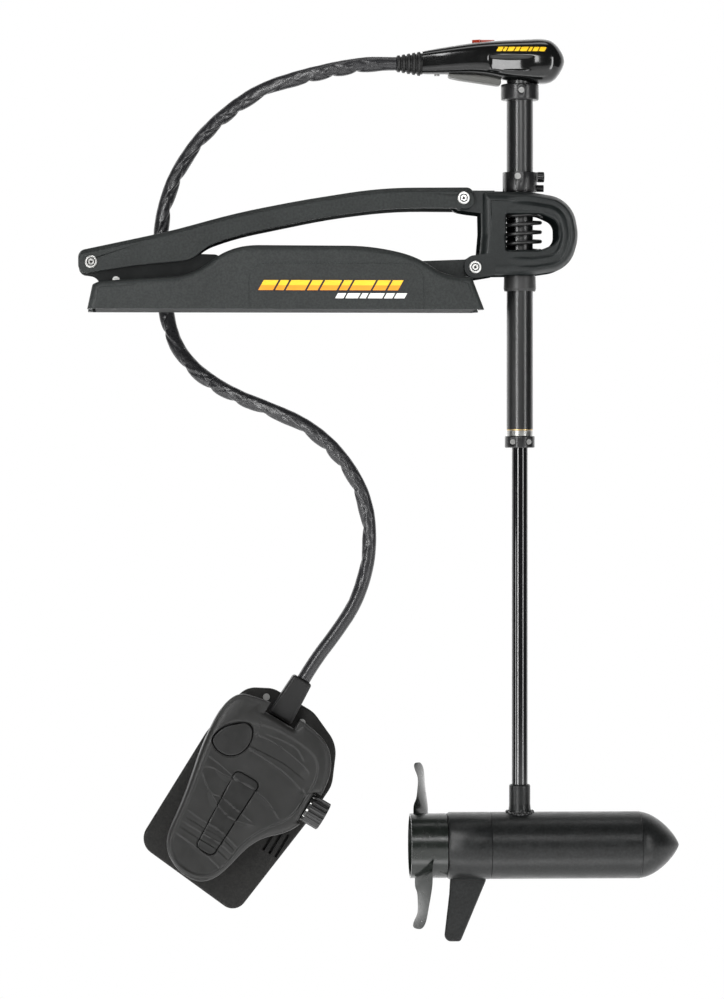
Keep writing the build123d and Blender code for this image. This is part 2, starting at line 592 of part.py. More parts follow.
def rear_end_bell():
    bell = turned_x([(BELL_LEFT, 7), (BELL_LEFT, POD_R - 2), (BELL_LEFT + 3, POD_R),
                     (CAN_LEFT - SEAM, POD_R), (CAN_LEFT, POD_R - SEAM), (CAN_LEFT, POD_R - POD_WALL),
                     (BELL_LEFT + 16, POD_R - POD_WALL), (BELL_LEFT + 16, 14),
                     (BELL_LEFT + 25, 14), (BELL_LEFT + 25, 11), (BELL_LEFT + 14, 11), (BELL_LEFT + 14, 7)],
                    0, POD_Z)
    skeg = slab([(228, -765, 0), (279, -765, 0), (276, -782, 4), (241.5, SKEG_BOTTOM, 5),
                 (218.5, SKEG_BOTTOM, 9), (226, -800, 20)], -3.2, 3.2)
    rims = [e for e in skeg.edges() if abs(abs(e.center().Y) - 3.2) < 0.01 and e.center().Z < -790]
    skeg = chamfer(rims, 1.6)
    return bell + (skeg - rod_x(0, POD_Z, POD_R - 1, 200, 300))


# radius, middle along X, sweep and pitch in degrees, chord, thickness
BLADE_STATIONS = [(41.5, 190.0, 46, 58, 46, 5.0), (60.0, 190.5, 30, 66, 47, 4.2), (78.0, 190.0, 17, 71, 45, 3.4),
                  (94.0, 188.0, 8, 72, 41, 2.8), (105.0, 185.0, 3, 66, 35, 2.3), (111.5, 183.0, 1, 62, 25, 1.9),
                  (PROP_TIP_R - 0.8, 182.5, 0, 60, 9, 1.4)]


def propeller_blade():
    """A thin weedless blade: its root is swept round the hub from the line of its tip."""
    faces = []
    for r, middle, sweep_angle, pitch, chord, thick in BLADE_STATIONS:
        turn, lead = math.radians(sweep_angle), math.radians(pitch)
        out = Vector(0, -math.sin(turn), -math.cos(turn))
        around = Vector(0, -math.cos(turn), math.sin(turn))
        along = Vector(1, 0, 0) * math.cos(lead) + around * math.sin(lead)
        section = Plane(origin=Vector(middle, 0, 0) + out * r, x_dir=along, z_dir=out)
        left, right = (-chord / 2, 0), (chord / 2, 0)
        faces.append(section * make_face(Wire([ThreePointArc(left, (0, thick / 2), right),
                                               ThreePointArc(right, (0, -thick / 2), left)])))
    return loft(faces, ruled=False)


def propeller():
    hub = turned_x([(HUB_LEFT, HUB_R - 3.2), (HUB_LEFT, HUB_R), (HUB_RIGHT, HUB_R), (HUB_RIGHT, 12),
                    (HUB_RIGHT, MOTOR_SHAFT_R), (183, MOTOR_SHAFT_R), (183, 11), (HUB_RIGHT - 5, 13),
                    (HUB_RIGHT - 5, HUB_R - 3.2)], 0, 0)
    blade = propeller_blade()
    blade -= rod_x(0, 0, HUB_R - 1.5, 150, 240)
    prop = hub + blade + Rot(180, 0, 0) * blade
    for i in range(4):
        rib = box(186, HUB_RIGHT - 4, -1.5, 1.5, 11, HUB_R - 2)
        prop += Rot(45 + 90 * i, 0, 0) * rib
    prop -= rod_z(190, 0, 2, -12.5, 12.5)
    return Pos(0, 0, POD_Z) * prop


def armature():
    shaft = rod_x(0, POD_Z, MOTOR_SHAFT_R, 176, 500) - rod_z(190, 0, 2, POD_Z - 8, POD_Z + 8)
    core = rod_x(0, POD_Z, 33.0, 345, 440)
    for i in range(10):
        slot = Pos(392.5, 0, POD_Z) * Rot(36 * i, 0, 0) * Pos(0, 0, 31) * Box(96, 4, 8)
        core -= slot
    winding = rod_x(0, POD_Z, 25, 330, 345) + rod_x(0, POD_Z, 25, 440, 455)
    commutator = rod_x(0, POD_Z, 13, 300, 326)
    return shaft + core + winding + commutator


def magnet(angle):
    ring = ring_x(0, 0, POD_R - POD_WALL, 34.5, 350, 435)
    wedge = extrude(Plane.YZ.offset(349) * make_face(
        Polyline([(0, 0), (-52, 70), (52, 70)], close=True)), amount=87)
    return Pos(0, 0, POD_Z) * Rot(angle, 0, 0) * common(ring, wedge)


def brush_plate():
    disc = ring_x(0, POD_Z, POD_R - POD_WALL, 16, 304, 307)
    blocks = []
    for side in (-1, 1):
        y0, y1 = sorted((side * 13.3, side * 32))
        blocks.append(box(308.5, 321, y0, y1, POD_Z - 4, POD_Z + 4))
    holders = [box(307, 308.5, *sorted((side * 16, side * 36)), POD_Z - 7, POD_Z + 7) for side in (-1, 1)]
    plate_and_brushes = disc
    for piece in blocks + holders:
        plate_and_brushes += piece
    return plate_and_brushes


def shaft_and_motor():
    shaft = ring_z(SHAFT_X, 0, SHAFT_R, SHAFT_BORE, POD_Z + POD_R, 330)
    shaft += ring_z(SHAFT_X, 0, SHAFT_BORE, 5, 318, 330)
    keep("inner_shaft", shaft)
    clamp = ring_z(SHAFT_X, 0, 20.5, SHAFT_R, -187.3, -171.2)
    rims = clamp.edges().filter_by(GeomType.CIRCLE).sort_by(SortBy.RADIUS)[-2:]
    clamp = fillet(rims, 1.5)
    washer = ring_z(SHAFT_X, 0, 17.6, SHAFT_R, -171.2, -164.0)
    for x in (-11, 11):
        clamp -= rod_y(SHAFT_X + x, -179.3, 4.2, -22, -14.5)
        clamp -= rod_y(SHAFT_X + x, -179.3, 2, -22, -6)
    keep("shaft_clamp", clamp)
    keep("shaft_washer", washer)
    seats = [Plane(origin=(SHAFT_X + x, -14.5, -179.3), x_dir=(1, 0, 0), z_dir=(0, -1, 0)) for x in (-11, 11)]
    keep("clamp_screws", [cap_screw(seat, 2.0, 7) for seat in seats])
    keep("motor_housing", motor_housing())
    keep("nose_cap", nose_cap())
    keep("rear_end_bell", rear_end_bell())
    bolts = []
    for side in (-1, 1):
        bolts.append(rod_x(side * 36.5, POD_Z, 2, BELL_LEFT + 16, CAN_RIGHT + 13))
    keep("through_bolts", bolts)
    keep("field_magnets", [magnet(0), magnet(180)])
    rear = ring_x(0, POD_Z, 11, MOTOR_SHAFT_R + FIT, BELL_LEFT + 15, BELL_LEFT + 25)
    front = ring_x(0, POD_Z, 11, MOTOR_SHAFT_R + FIT, CAN_RIGHT, CAN_RIGHT + 10)
    keep("motor_bearings", [rear, front])
    keep("shaft_seal", ring_x(0, POD_Z, 7, MOTOR_SHAFT_R + FIT, BELL_LEFT + 1, BELL_LEFT + 13))
    plate_and_brushes = brush_plate()
    for side in (-1, 1):
        plate_and_brushes -= rod_x(side * 36.5, POD_Z, 2, 300, 312)
    keep("brush_plate", plate_and_brushes)
    keep("armature", armature())
    keep("propeller", propeller())
    keep("drive_pin", rod_z(190, 0, 2, POD_Z - 12, POD_Z + 12))
    nut_face = Plane.YZ.offset(176.5) * RegularPolygon(9, 6)
    nut = Pos(0, 0, POD_Z) * extrude(nut_face, amount=6.4)
    keep("prop_nut", nut - rod_x(0, POD_Z, MOTOR_SHAFT_R, 170, 190))


# ---------------------------------------------------------------- pedal
PEDAL_BASE_EDGE = [(-80.5, -99, 24), (84.8, -114.8, 20), (106, 50, 90), (109, 104, 40), (86, 156, 45),
                   (36, 178, 40), (-28, 178, 30), (-62, 160, 30), (-77, 80, 60)]
ROCKER_CURVE = [(-46, 157), (-70, 150), (-80, 118), (-74.5, 62), (-64, 14), (-57.5, -26), (-54.5, -62),
                (-44, -84), (-18, -99), (12, -100), (31, -85), (40, -60), (47, -25), (60, -1), (84, 20),
                (98, 48), (99, 88), (94, 124), (70, 154), (20, 162), (-20, 162)]
BUTTON_CURVE = [(-70, 78), (-64, 101), (-40, 122), (-27, 118), (-20.5, 101), (-24, 81), (-38, 68.5), (-57, 68.5)]
INSERT_EDGE = [(-18.8, 59, 8), (18.8, 59, 8), (13.3, -59, 8), (-13.3, -59, 8)]
POST_LEFT, POST_RIGHT, POST_THICK = -50.0, 33.0, 8.0
TILT_RELIEF = 19.0                          # slope of the rocker's underside, in degrees


def closed_curve(points):
    """A smooth closed face: each corner's arc takes 0.45 of its shorter side."""
    corners = []
    for i, (x, y) in enumerate(points):
        back = Vector(*points[i - 1]) - Vector(x, y)
        on = Vector(*points[(i + 1) % len(points)]) - Vector(x, y)
        half = math.radians(back.get_angle(on)) / 2
        corners.append((x, y, 0.45 * min(back.length, on.length) * math.tan(half)))
    return outline(corners)


def pedal_plane():
    toe = Vector(*PEDAL_TOE)
    up = Vector(0, -1, 0)
    return Plane(origin=PEDAL_CENTRE, x_dir=toe.cross(up), z_dir=up)


def toe_side_prism(points, x0, x1):
    """A profile of local (y, z) points, extruded from x0 to x1 across the pedal."""
    face = Plane(origin=(x0, 0, 0), x_dir=(0, 1, 0), z_dir=(1, 0, 0)) * make_face(Polyline(points, close=True))
    return extrude(face, amount=x1 - x0, dir=(1, 0, 0))


def pedal_base():
    base = plate(PEDAL_BASE_EDGE, 0, BASE_TOP)
    rims = [e for e in base.edges() if abs(e.center().Z - BASE_TOP) < 0.01]
    base = fillet(rims, 3.0)
    base -= plate([(-30, -70, 8), (28, -70, 8), (28, 100, 8), (-30, 100, 8)], 3, 20)
    for x in (72.6, 82.2, 91.8):
        base -= box(x - 1.8, x + 1.8, -20, 16, BASE_TOP - 8, 20)
    for x in (POST_LEFT, POST_RIGHT):
        post = toe_side_prism([(HINGE_Y - 22, 2), (HINGE_Y - 6, HINGE_Z), (HINGE_Y - 3, HINGE_Z + 6),
                               (HINGE_Y + 3, HINGE_Z + 6), (HINGE_Y + 6, HINGE_Z), (HINGE_Y + 22, 2)],
                              x, x + POST_THICK)
        base += post - rod_x(HINGE_Y, HINGE_Z, HINGE_R, x - 1, x + POST_THICK + 1)
    for x in (-9.5, 6.5):
        base += box(x, x + 3, HINGE_Y - 55, HINGE_Y + 55, 2, BASE_TOP)
    base -= box(-6.5, 6.5, 120, 190, 3, BASE_TOP - 3)
    return base


def pedal_boot():
    """The moulded grommet at the toe: a block over the base's rim that takes the sheath."""
    neck = plate([(-19, 148, 3), (-15.5, 209.6, 4), (13, 209.6, 4), (16.4, 148, 3)], BASE_TOP, 36)
    rims = [e for e in neck.edges() if e.length > 20 and abs(e.center().Z - 36) < 0.01]
    neck = fillet(rims, 4)
    skirt = plate([(-15.5, 178.5, 0), (-15.0, 209.6, 4), (12.4, 209.6, 4), (13, 178.5, 0)], 7, BASE_TOP)
    return neck + skirt


def hinge_rib(x0, x1):
    """A bearing block under the rocker's plate, round the hinge pin."""
    return toe_side_prism([(HINGE_Y - 14, ROCKER_TOP - 3), (HINGE_Y - 7, HINGE_Z - 6),
                           (HINGE_Y + 7, HINGE_Z - 6), (HINGE_Y + 14, ROCKER_TOP - 3)], x0, x1)


def rocker_plan():
    notch = Pos(-2, 167, 0) * Rectangle(46, 46)
    knob_room = Pos(108, KNOB_Y, 0) * Rectangle(40, 48)
    return closed_curve(ROCKER_CURVE) - notch - knob_room


def rocker_shell():
    low, wall, reach = 14.0, 4.0, 175.0
    blank = raised(rocker_plan(), low, ROCKER_TOP)
    rims = [e for e in blank.edges() if abs(e.center().Z - ROCKER_TOP) < 0.01]
    blank = soften(blank, rims, (6.0, 4.0, 3.0, 2.0))
    rise = low + reach * math.tan(math.radians(TILT_RELIEF))
    wedge = toe_side_prism([(HINGE_Y - reach, 0), (HINGE_Y - reach, rise), (HINGE_Y, low + 1),
                            (HINGE_Y + reach, rise), (HINGE_Y + reach, 0)], -120, 120)
    inside = raised(offset(rocker_plan(), -wall), 0, ROCKER_TOP - ROCKER_PLATE)
    shell = blank - wedge - inside
    return max(shell.solids(), key=lambda solid: solid.volume)


def rocker():
    shell = rocker_shell() + hinge_rib(53, 61) + hinge_rib(-61, -53)
    shell -= rod_x(HINGE_Y, HINGE_Z, HINGE_R + FIT, -70, 70)
    for x in (POST_LEFT, POST_RIGHT):
        shell -= rod_x(HINGE_Y, HINGE_Z, 9.5, x - 1, x + POST_THICK + 1)
    web = toe_side_prism([(HINGE_Y - 24, ROCKER_TOP - 3), (HINGE_Y - 12, 18), (HINGE_Y + 12, 18),
                          (HINGE_Y + 24, ROCKER_TOP - 3)], -5, 5)
    first = -7
    sector = extrude(gear_face(SECTOR_TEETH, first, -first, SECTOR_R - 12), amount=10)
    shell += web
    shell += Pos(-5, HINGE_Y, HINGE_Z) * Rot(0, 90, 0) * sector
    shell -= rod_x(HINGE_Y, HINGE_Z, HINGE_R + 1, -6, 6)
    shell -= raised(closed_curve(BUTTON_CURVE), ROCKER_TOP - ROCKER_PLATE - 1, ROCKER_TOP + 1)
    shell -= plate(INSERT_EDGE, ROCKER_TOP - 3, ROCKER_TOP + 1)
    shell -= rod_x(KNOB_Y, KNOB_Z, 4 + FIT, 80, 95)
    return shell


def momentary_button():
    face = offset(closed_curve(BUTTON_CURVE), -GAP)
    button = raised(face, ROCKER_TOP - ROCKER_PLATE, ROCKER_TOP + BUTTON_RISE)
    top = [e for e in button.edges() if abs(e.center().Z - ROCKER_TOP - BUTTON_RISE) < 0.01]
    return soften(button, top, (1.6, 1.0))


def momentary_switch():
    """A switch box under the button, on a bracket that hangs from the plate beside the button."""
    switch = box(-58, -32, 84, 106, 50, ROCKER_TOP - ROCKER_PLATE - 4.5)
    shelf = box(-58, -13, 86, 104, 47, 50)
    hanger = box(-16, -13, 86, 104, 50, ROCKER_TOP - ROCKER_PLATE)
    return switch + shelf + hanger


def pedal():
    place = pedal_plane()
    local = {}
    local["pedal_base"] = pedal_base()
    local["pedal_boot"] = pedal_boot()
    screws = []
    for x, y in ((-31.0, 163.0), (29.0, 158.0)):
        seat = Plane(origin=(x, y, BASE_TOP), x_dir=(1, 0, 0), z_dir=(0, 0, 1))
        screws.append(cap_screw(seat, 2.6, 8))
        local["pedal_base"] -= rod_z(x, y, 2.6, BASE_TOP - 8, BASE_TOP + 1)
    local["pedal_screws"] = screws
    local["pedal_hinge_pin"] = rod_x(HINGE_Y, HINGE_Z, HINGE_R, -63.5, 61)
    local["pedal_rocker"] = rocker()
    local["pedal_tread_insert"] = extrude(Pos(0, 0, ROCKER_TOP - 3) * outline(INSERT_EDGE), amount=3.6)
    local["momentary_button"] = momentary_button()
    local["momentary_switch"] = momentary_switch()
    disc = rod_x(KNOB_Y, KNOB_Z, KNOB_R, 90.2, 94)
    knob = Pos(94, KNOB_Y, KNOB_Z) * Rot(0, 90, 0) * fluted_knob(KNOB_R, 24, 14, 1.6)
    stem = rod_x(KNOB_Y, KNOB_Z, 4, 83, 91)
    local["speed_knob"] = disc + knob + stem
    local["speed_control"] = rod_x(KNOB_Y, KNOB_Z, 12, 66, 84) - rod_x(KNOB_Y, KNOB_Z, 4 + FIT, 80, 85)
    bar = extrude(rack_face(18, 6), amount=10)
    bar = Pos(0, HINGE_Y, HINGE_Z - SECTOR_R) * Rot(0, 0, 90) * Rot(90, 0, 0) * bar
    local["pedal_rack"] = Pos(-5, 0, 0) * Pos(-bar.bounding_box().min.X, 0, 0) * bar
    for name, shape in local.items():
        keep(name, [place * solid for solid in solids_of(shape)])


# ---------------------------------------------------------------- cable sheath
# The sheath's way from the head's boot, behind the mount, down to the pedal's boot.
SHEATH_ROUTE = [
    (153.6, 0, 338.5), (119, 0, 338.5), (76, 2, 332), (26, 8, 321), (-24, 20, 307), (-68, 38, 281),
    (-108, 60, 247), (-140, 82, 205), (-160, 98, 160), (-169, 104, 112), (-168, 104, 62),
    (-163, 100, 10), (-152, 88, -40), (-122, 66, -82), (-74, 42, -113), (-22, 24, -134),
    (27, 12, -155), (70, 6, -190), (102, 3, -236), (117, 1, -290), (115, 0, -346), (98, 0, -400),
    (70, 0, -442), (41.3, 0, -479.1), (26.1, 0, -504.6)]
SHEATH_CUTS = (("sheath_head", 0, 5), ("sheath_arm", 5, 9), ("sheath_mount", 9, 13), ("sheath_pedal", 13, 24))


def corner_radii(points):
    """Each corner's arc: 0.45 of its shorter run over the tangent of half its turn."""
    radii = []
    for a, b, c in zip(points, points[1:], points[2:]):
        into, out = Vector(*b) - Vector(*a), Vector(*c) - Vector(*b)
        turn = math.radians(into.get_angle(out))
        radii.append(0.45 * min(into.length, out.length) / math.tan(turn / 2))
    return radii


def middle_of(i):
    a, b = Vector(*SHEATH_ROUTE[i]), Vector(*SHEATH_ROUTE[i + 1])
    return (a + b) * 0.5


def sheath_pieces():
    """The tube in four lengths, cut square in the middle of a straight run."""
    radii = corner_radii(SHEATH_ROUTE)
    total = 0.0
    for name, first, last in SHEATH_CUTS:
        start = Vector(*SHEATH_ROUTE[0]) if first == 0 else middle_of(first)
        end = Vector(*SHEATH_ROUTE[-1]) if last == len(SHEATH_ROUTE) - 1 else middle_of(last)
        inner = SHEATH_ROUTE[first + 1:last + 1] if last < len(SHEATH_ROUTE) - 1 else SHEATH_ROUTE[first + 1:last]
        points = [start] + [Vector(*p) for p in inner] + [end]
        arcs = radii[first:first + len(inner)]
        path = FilletPolyline(*points, radius=arcs)
        length = path.length
        total += length
        section = Plane(origin=path @ 0, z_dir=path % 0) * Circle(SHEATH_R)
        tube = sweep(section, path=path)
        share = tube.volume / (math.pi * SHEATH_R ** 2 * length)
        print(name, "length", round(length, 1), "volume share", round(share, 4))
        keep(name, tube)
    print("sheath length", round(total, 1))


def main():
    mount()
    linkage()
    bracket()
    tube_and_head()
    shaft_and_motor()
    pedal()
    sheath_pieces()
    os.makedirs("parts", exist_ok=True)
    for name, solids in NODES.items():
        shape = solids[0] if len(solids) == 1 else Compound(children=solids)
        export_step(shape, f"parts/{name}.step")
    print(len(NODES), "nodes")


main()
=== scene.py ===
import json
import math

import bmesh
import bpy
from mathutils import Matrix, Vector, kdtree, noise
from mathutils.bvhtree import BVHTree

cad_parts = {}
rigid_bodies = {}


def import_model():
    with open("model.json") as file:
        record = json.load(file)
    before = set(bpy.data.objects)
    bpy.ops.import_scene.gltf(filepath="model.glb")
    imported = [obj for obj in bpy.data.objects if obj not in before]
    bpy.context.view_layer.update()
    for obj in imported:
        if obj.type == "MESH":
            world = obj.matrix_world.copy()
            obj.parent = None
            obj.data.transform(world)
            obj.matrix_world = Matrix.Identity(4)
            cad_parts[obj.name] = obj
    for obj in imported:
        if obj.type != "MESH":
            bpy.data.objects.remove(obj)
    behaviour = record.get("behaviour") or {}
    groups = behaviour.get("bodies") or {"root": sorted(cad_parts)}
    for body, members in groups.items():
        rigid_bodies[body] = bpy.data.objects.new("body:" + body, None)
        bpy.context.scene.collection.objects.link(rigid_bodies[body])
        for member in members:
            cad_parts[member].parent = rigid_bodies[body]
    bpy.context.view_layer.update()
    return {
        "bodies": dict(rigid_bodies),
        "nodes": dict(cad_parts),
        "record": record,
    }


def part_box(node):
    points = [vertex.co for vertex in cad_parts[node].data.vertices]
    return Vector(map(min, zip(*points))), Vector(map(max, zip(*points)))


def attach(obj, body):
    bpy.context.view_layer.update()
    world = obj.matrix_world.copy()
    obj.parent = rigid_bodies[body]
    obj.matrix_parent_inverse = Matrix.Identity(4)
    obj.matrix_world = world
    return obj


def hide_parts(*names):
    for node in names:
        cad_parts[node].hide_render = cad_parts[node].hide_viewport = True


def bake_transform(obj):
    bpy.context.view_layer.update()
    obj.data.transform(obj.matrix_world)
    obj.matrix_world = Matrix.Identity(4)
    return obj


# A folding bow mount, a steering head, a shaft with its motor, a foot pedal and the cable sheath.
# Lengths in the tables below are in millimetres unless they say otherwise; MM turns them into metres.
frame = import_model()
NODES = frame["nodes"]
MM = 0.001


# ---------------------------------------------------------------- camera, light and floor
def make_camera():
    """The camera stands level with the mount and sees the whole object side on, through a long lens."""
    data = bpy.data.cameras.new("camera")
    data.lens = 157.8
    data.clip_end = 60
    camera = bpy.data.objects.new("camera", data)
    bpy.context.scene.collection.objects.link(camera)
    camera.location = (-0.2108, -5.99, -0.2201)
    aim = Vector((0.1062, 0.0, -0.2582)) - camera.location
    camera.rotation_euler = aim.to_track_quat("-Z", "Y").to_euler()
    bpy.context.scene.camera = camera


def area_light(name, place, target, size, power):
    """A white rectangular light in metres and watts, turned to face its target."""
    data = bpy.data.lights.new(name, "AREA")
    data.shape = "RECTANGLE"
    data.size, data.size_y = size
    data.energy = power
    light = bpy.data.objects.new(name, data)
    bpy.context.scene.collection.objects.link(light)
    light.location = place
    light.rotation_euler = (Vector(target) - Vector(place)).to_track_quat("-Z", "Y").to_euler()


WORLD_FILL = 0.07                   # how strongly the world lights the object; a camera sees it white
FLOOR_Z, FLOOR_FRONT, WALL_Y, WALL_TOP, WALL_BEND, HALF_STAGE = -1.15, -8.0, 2.6, 5.0, 1.2, 7.0
BEND_STEPS = 12


def make_studio():
    """Soft studio lights, a pale floor and a curved wall behind the object."""
    bpy.context.scene.view_settings.view_transform = "Standard"
    world = bpy.data.worlds.new("studio")
    bpy.context.scene.world = world
    world.use_nodes = True
    background = world.node_tree.nodes["Background"]
    background.inputs["Color"].default_value = (1, 1, 1, 1)
    rays = world.node_tree.nodes.new("ShaderNodeLightPath")
    dim = world.node_tree.nodes.new("ShaderNodeMapRange")
    dim.inputs["To Min"].default_value = WORLD_FILL
    dim.inputs["To Max"].default_value = 1.0
    world.node_tree.links.new(rays.outputs["Is Camera Ray"], dim.inputs["Value"])
    world.node_tree.links.new(dim.outputs["Result"], background.inputs["Strength"])
    area_light("key", (-1.6, -3.4, 2.3), (0, 0, -0.2), (0.9, 1.4), 62)
    area_light("fill", (2.6, -2.4, -0.2), (0.25, 0, -0.3), (0.35, 2.4), 32)
    area_light("head_box", (0.50, -2.53, 0.64), (0.31, 0, 0.34), (0.64, 0.42), 10.0)
    area_light("blade_box", (-2.2, -1.2, -0.75), (0.18, 0, -0.75), (0.5, 0.8), 8)
    area_light("top", (0.2, -0.2, 2.6), (0.1, 0, 0), (2.4, 0.6), 14)
    area_light("strip", (-1.45, -3.0, -0.2), (0.25, 0, -0.25), (0.30, 2.6), 62)
    area_light("low_front", (0.25, -0.30, -1.12), (0.25, -0.1, -0.7), (1.5, 0.12), 1.8)
    paper = bpy.data.materials.new("backdrop_paper")
    paper.use_nodes = True
    shader = paper.node_tree.nodes["Principled BSDF"]
    shader.inputs["Base Color"].default_value = (0.80, 0.80, 0.80, 1)
    shader.inputs["Roughness"].default_value = 1.0
    shader.inputs["Specular IOR Level"].default_value = 0.0
    shader.inputs["Emission Color"].default_value = (1, 1, 1, 1)
    shader.inputs["Emission Strength"].default_value = 0.85
    floor = [(FLOOR_FRONT, FLOOR_Z), (WALL_Y - WALL_BEND, FLOOR_Z)]
    wall = [floor[-1]]
    for i in range(1, BEND_STEPS + 1):
        turn = math.pi / 2 * i / BEND_STEPS
        wall.append((WALL_Y - WALL_BEND * (1 - math.sin(turn)), FLOOR_Z + WALL_BEND * (1 - math.cos(turn))))
    wall.append((WALL_Y, WALL_TOP))
    for name, line in (("floor", floor), ("backdrop", wall)):
        sheet = bpy.data.meshes.new(name)
        verts = [(x, y, z) for y, z in line for x in (-HALF_STAGE, HALF_STAGE)]
        faces = [(2 * i, 2 * i + 1, 2 * i + 3, 2 * i + 2) for i in range(len(line) - 1)]
        sheet.from_pydata(verts, [], faces)
        sheet.polygons.foreach_set("use_smooth", [True] * len(faces))
        sheet.materials.append(paper)
        screen = bpy.data.objects.new(name, sheet)
        bpy.context.scene.collection.objects.link(screen)
        # The wall lights the object and shows in its gloss, but never stands before a camera behind it.
        screen.visible_camera = name == "floor"


# ---------------------------------------------------------------- materials
MATERIALS = {}


def surface(name, colour, rough, grain_mm=0.8, grain=0.03, mottle=0.12, mottle_mm=40.0, rough_change=0.06,
            metal=0.0, specular=0.5, stretch=(1, 1, 1), speckle=0.0, dull_sides=False):
    """A procedural finish: mottled colour, uneven roughness and a fine bump.

    The grain is the bump's height and grain_mm its spacing, mottle and speckle are shares of the colour, and
    dull_sides takes the gloss from faces that look across the object, such as a window's inner walls.
    """
    material = bpy.data.materials.new(name)
    material.use_nodes = True
    tree = material.node_tree
    nodes, links = tree.nodes, tree.links
    shader = nodes["Principled BSDF"]
    shader.inputs["Metallic"].default_value = metal
    shader.inputs["Specular IOR Level"].default_value = specular
    place = nodes.new("ShaderNodeTexCoord")
    scale = nodes.new("ShaderNodeMapping")
    scale.inputs["Scale"].default_value = stretch
    links.new(place.outputs["Object"], scale.inputs["Vector"])

    def map_range(value, low, high, to_low, to_high):
        node = nodes.new("ShaderNodeMapRange")
        for label, number in (("From Min", low), ("From Max", high), ("To Min", to_low), ("To Max", to_high)):
            node.inputs[label].default_value = number
        links.new(value, node.inputs["Value"])
        return node.outputs["Result"]

    def noise_node(size_mm, detail):
        node = nodes.new("ShaderNodeTexNoise")
        node.inputs["Scale"].default_value = 1000.0 / size_mm
        node.inputs["Detail"].default_value = detail
        links.new(scale.outputs["Vector"], node.inputs["Vector"])
        return node.outputs["Fac"]

    if dull_sides:
        facing = nodes.new("ShaderNodeSeparateXYZ")
        links.new(place.outputs["Normal"], facing.inputs[0])
        across = nodes.new("ShaderNodeMath")
        across.operation = "ABSOLUTE"
        links.new(facing.outputs["Y"], across.inputs[0])
        links.new(map_range(across.outputs["Value"], 0.15, 0.45, 0.0, specular),
                  shader.inputs["Specular IOR Level"])
    ramp = nodes.new("ShaderNodeValToRGB")
    low, high = ramp.color_ramp.elements
    low.position, high.position = 0.3, 0.7
    low.color = tuple(c * (1 - mottle) for c in colour) + (1,)
    high.color = tuple(min(c * (1 + mottle), 1.0) for c in colour) + (1,)
    links.new(noise_node(mottle_mm, 4.0), ramp.inputs["Fac"])
    tint = ramp.outputs["Color"]
    if speckle > 0:
        dots = map_range(noise_node(grain_mm * 2, 3.0), 0.35, 0.65, 1 - speckle, 1 + speckle)
        shade = nodes.new("ShaderNodeVectorMath")
        shade.operation = "SCALE"
        links.new(tint, shade.inputs[0])
        links.new(dots, shade.inputs["Scale"])
        tint = shade.outputs["Vector"]
    links.new(tint, shader.inputs["Base Color"])
    uneven = map_range(noise_node(mottle_mm * 0.3, 6.0), 0.3, 0.7, rough - rough_change, rough + rough_change)
    links.new(uneven, shader.inputs["Roughness"])
    bump = nodes.new("ShaderNodeBump")
    bump.inputs["Strength"].default_value = 1.0
    bump.inputs["Distance"].default_value = grain * MM
    links.new(noise_node(grain_mm, 2.0), bump.inputs["Height"])
    links.new(bump.outputs["Normal"], shader.inputs["Normal"])
    MATERIALS[name] = material


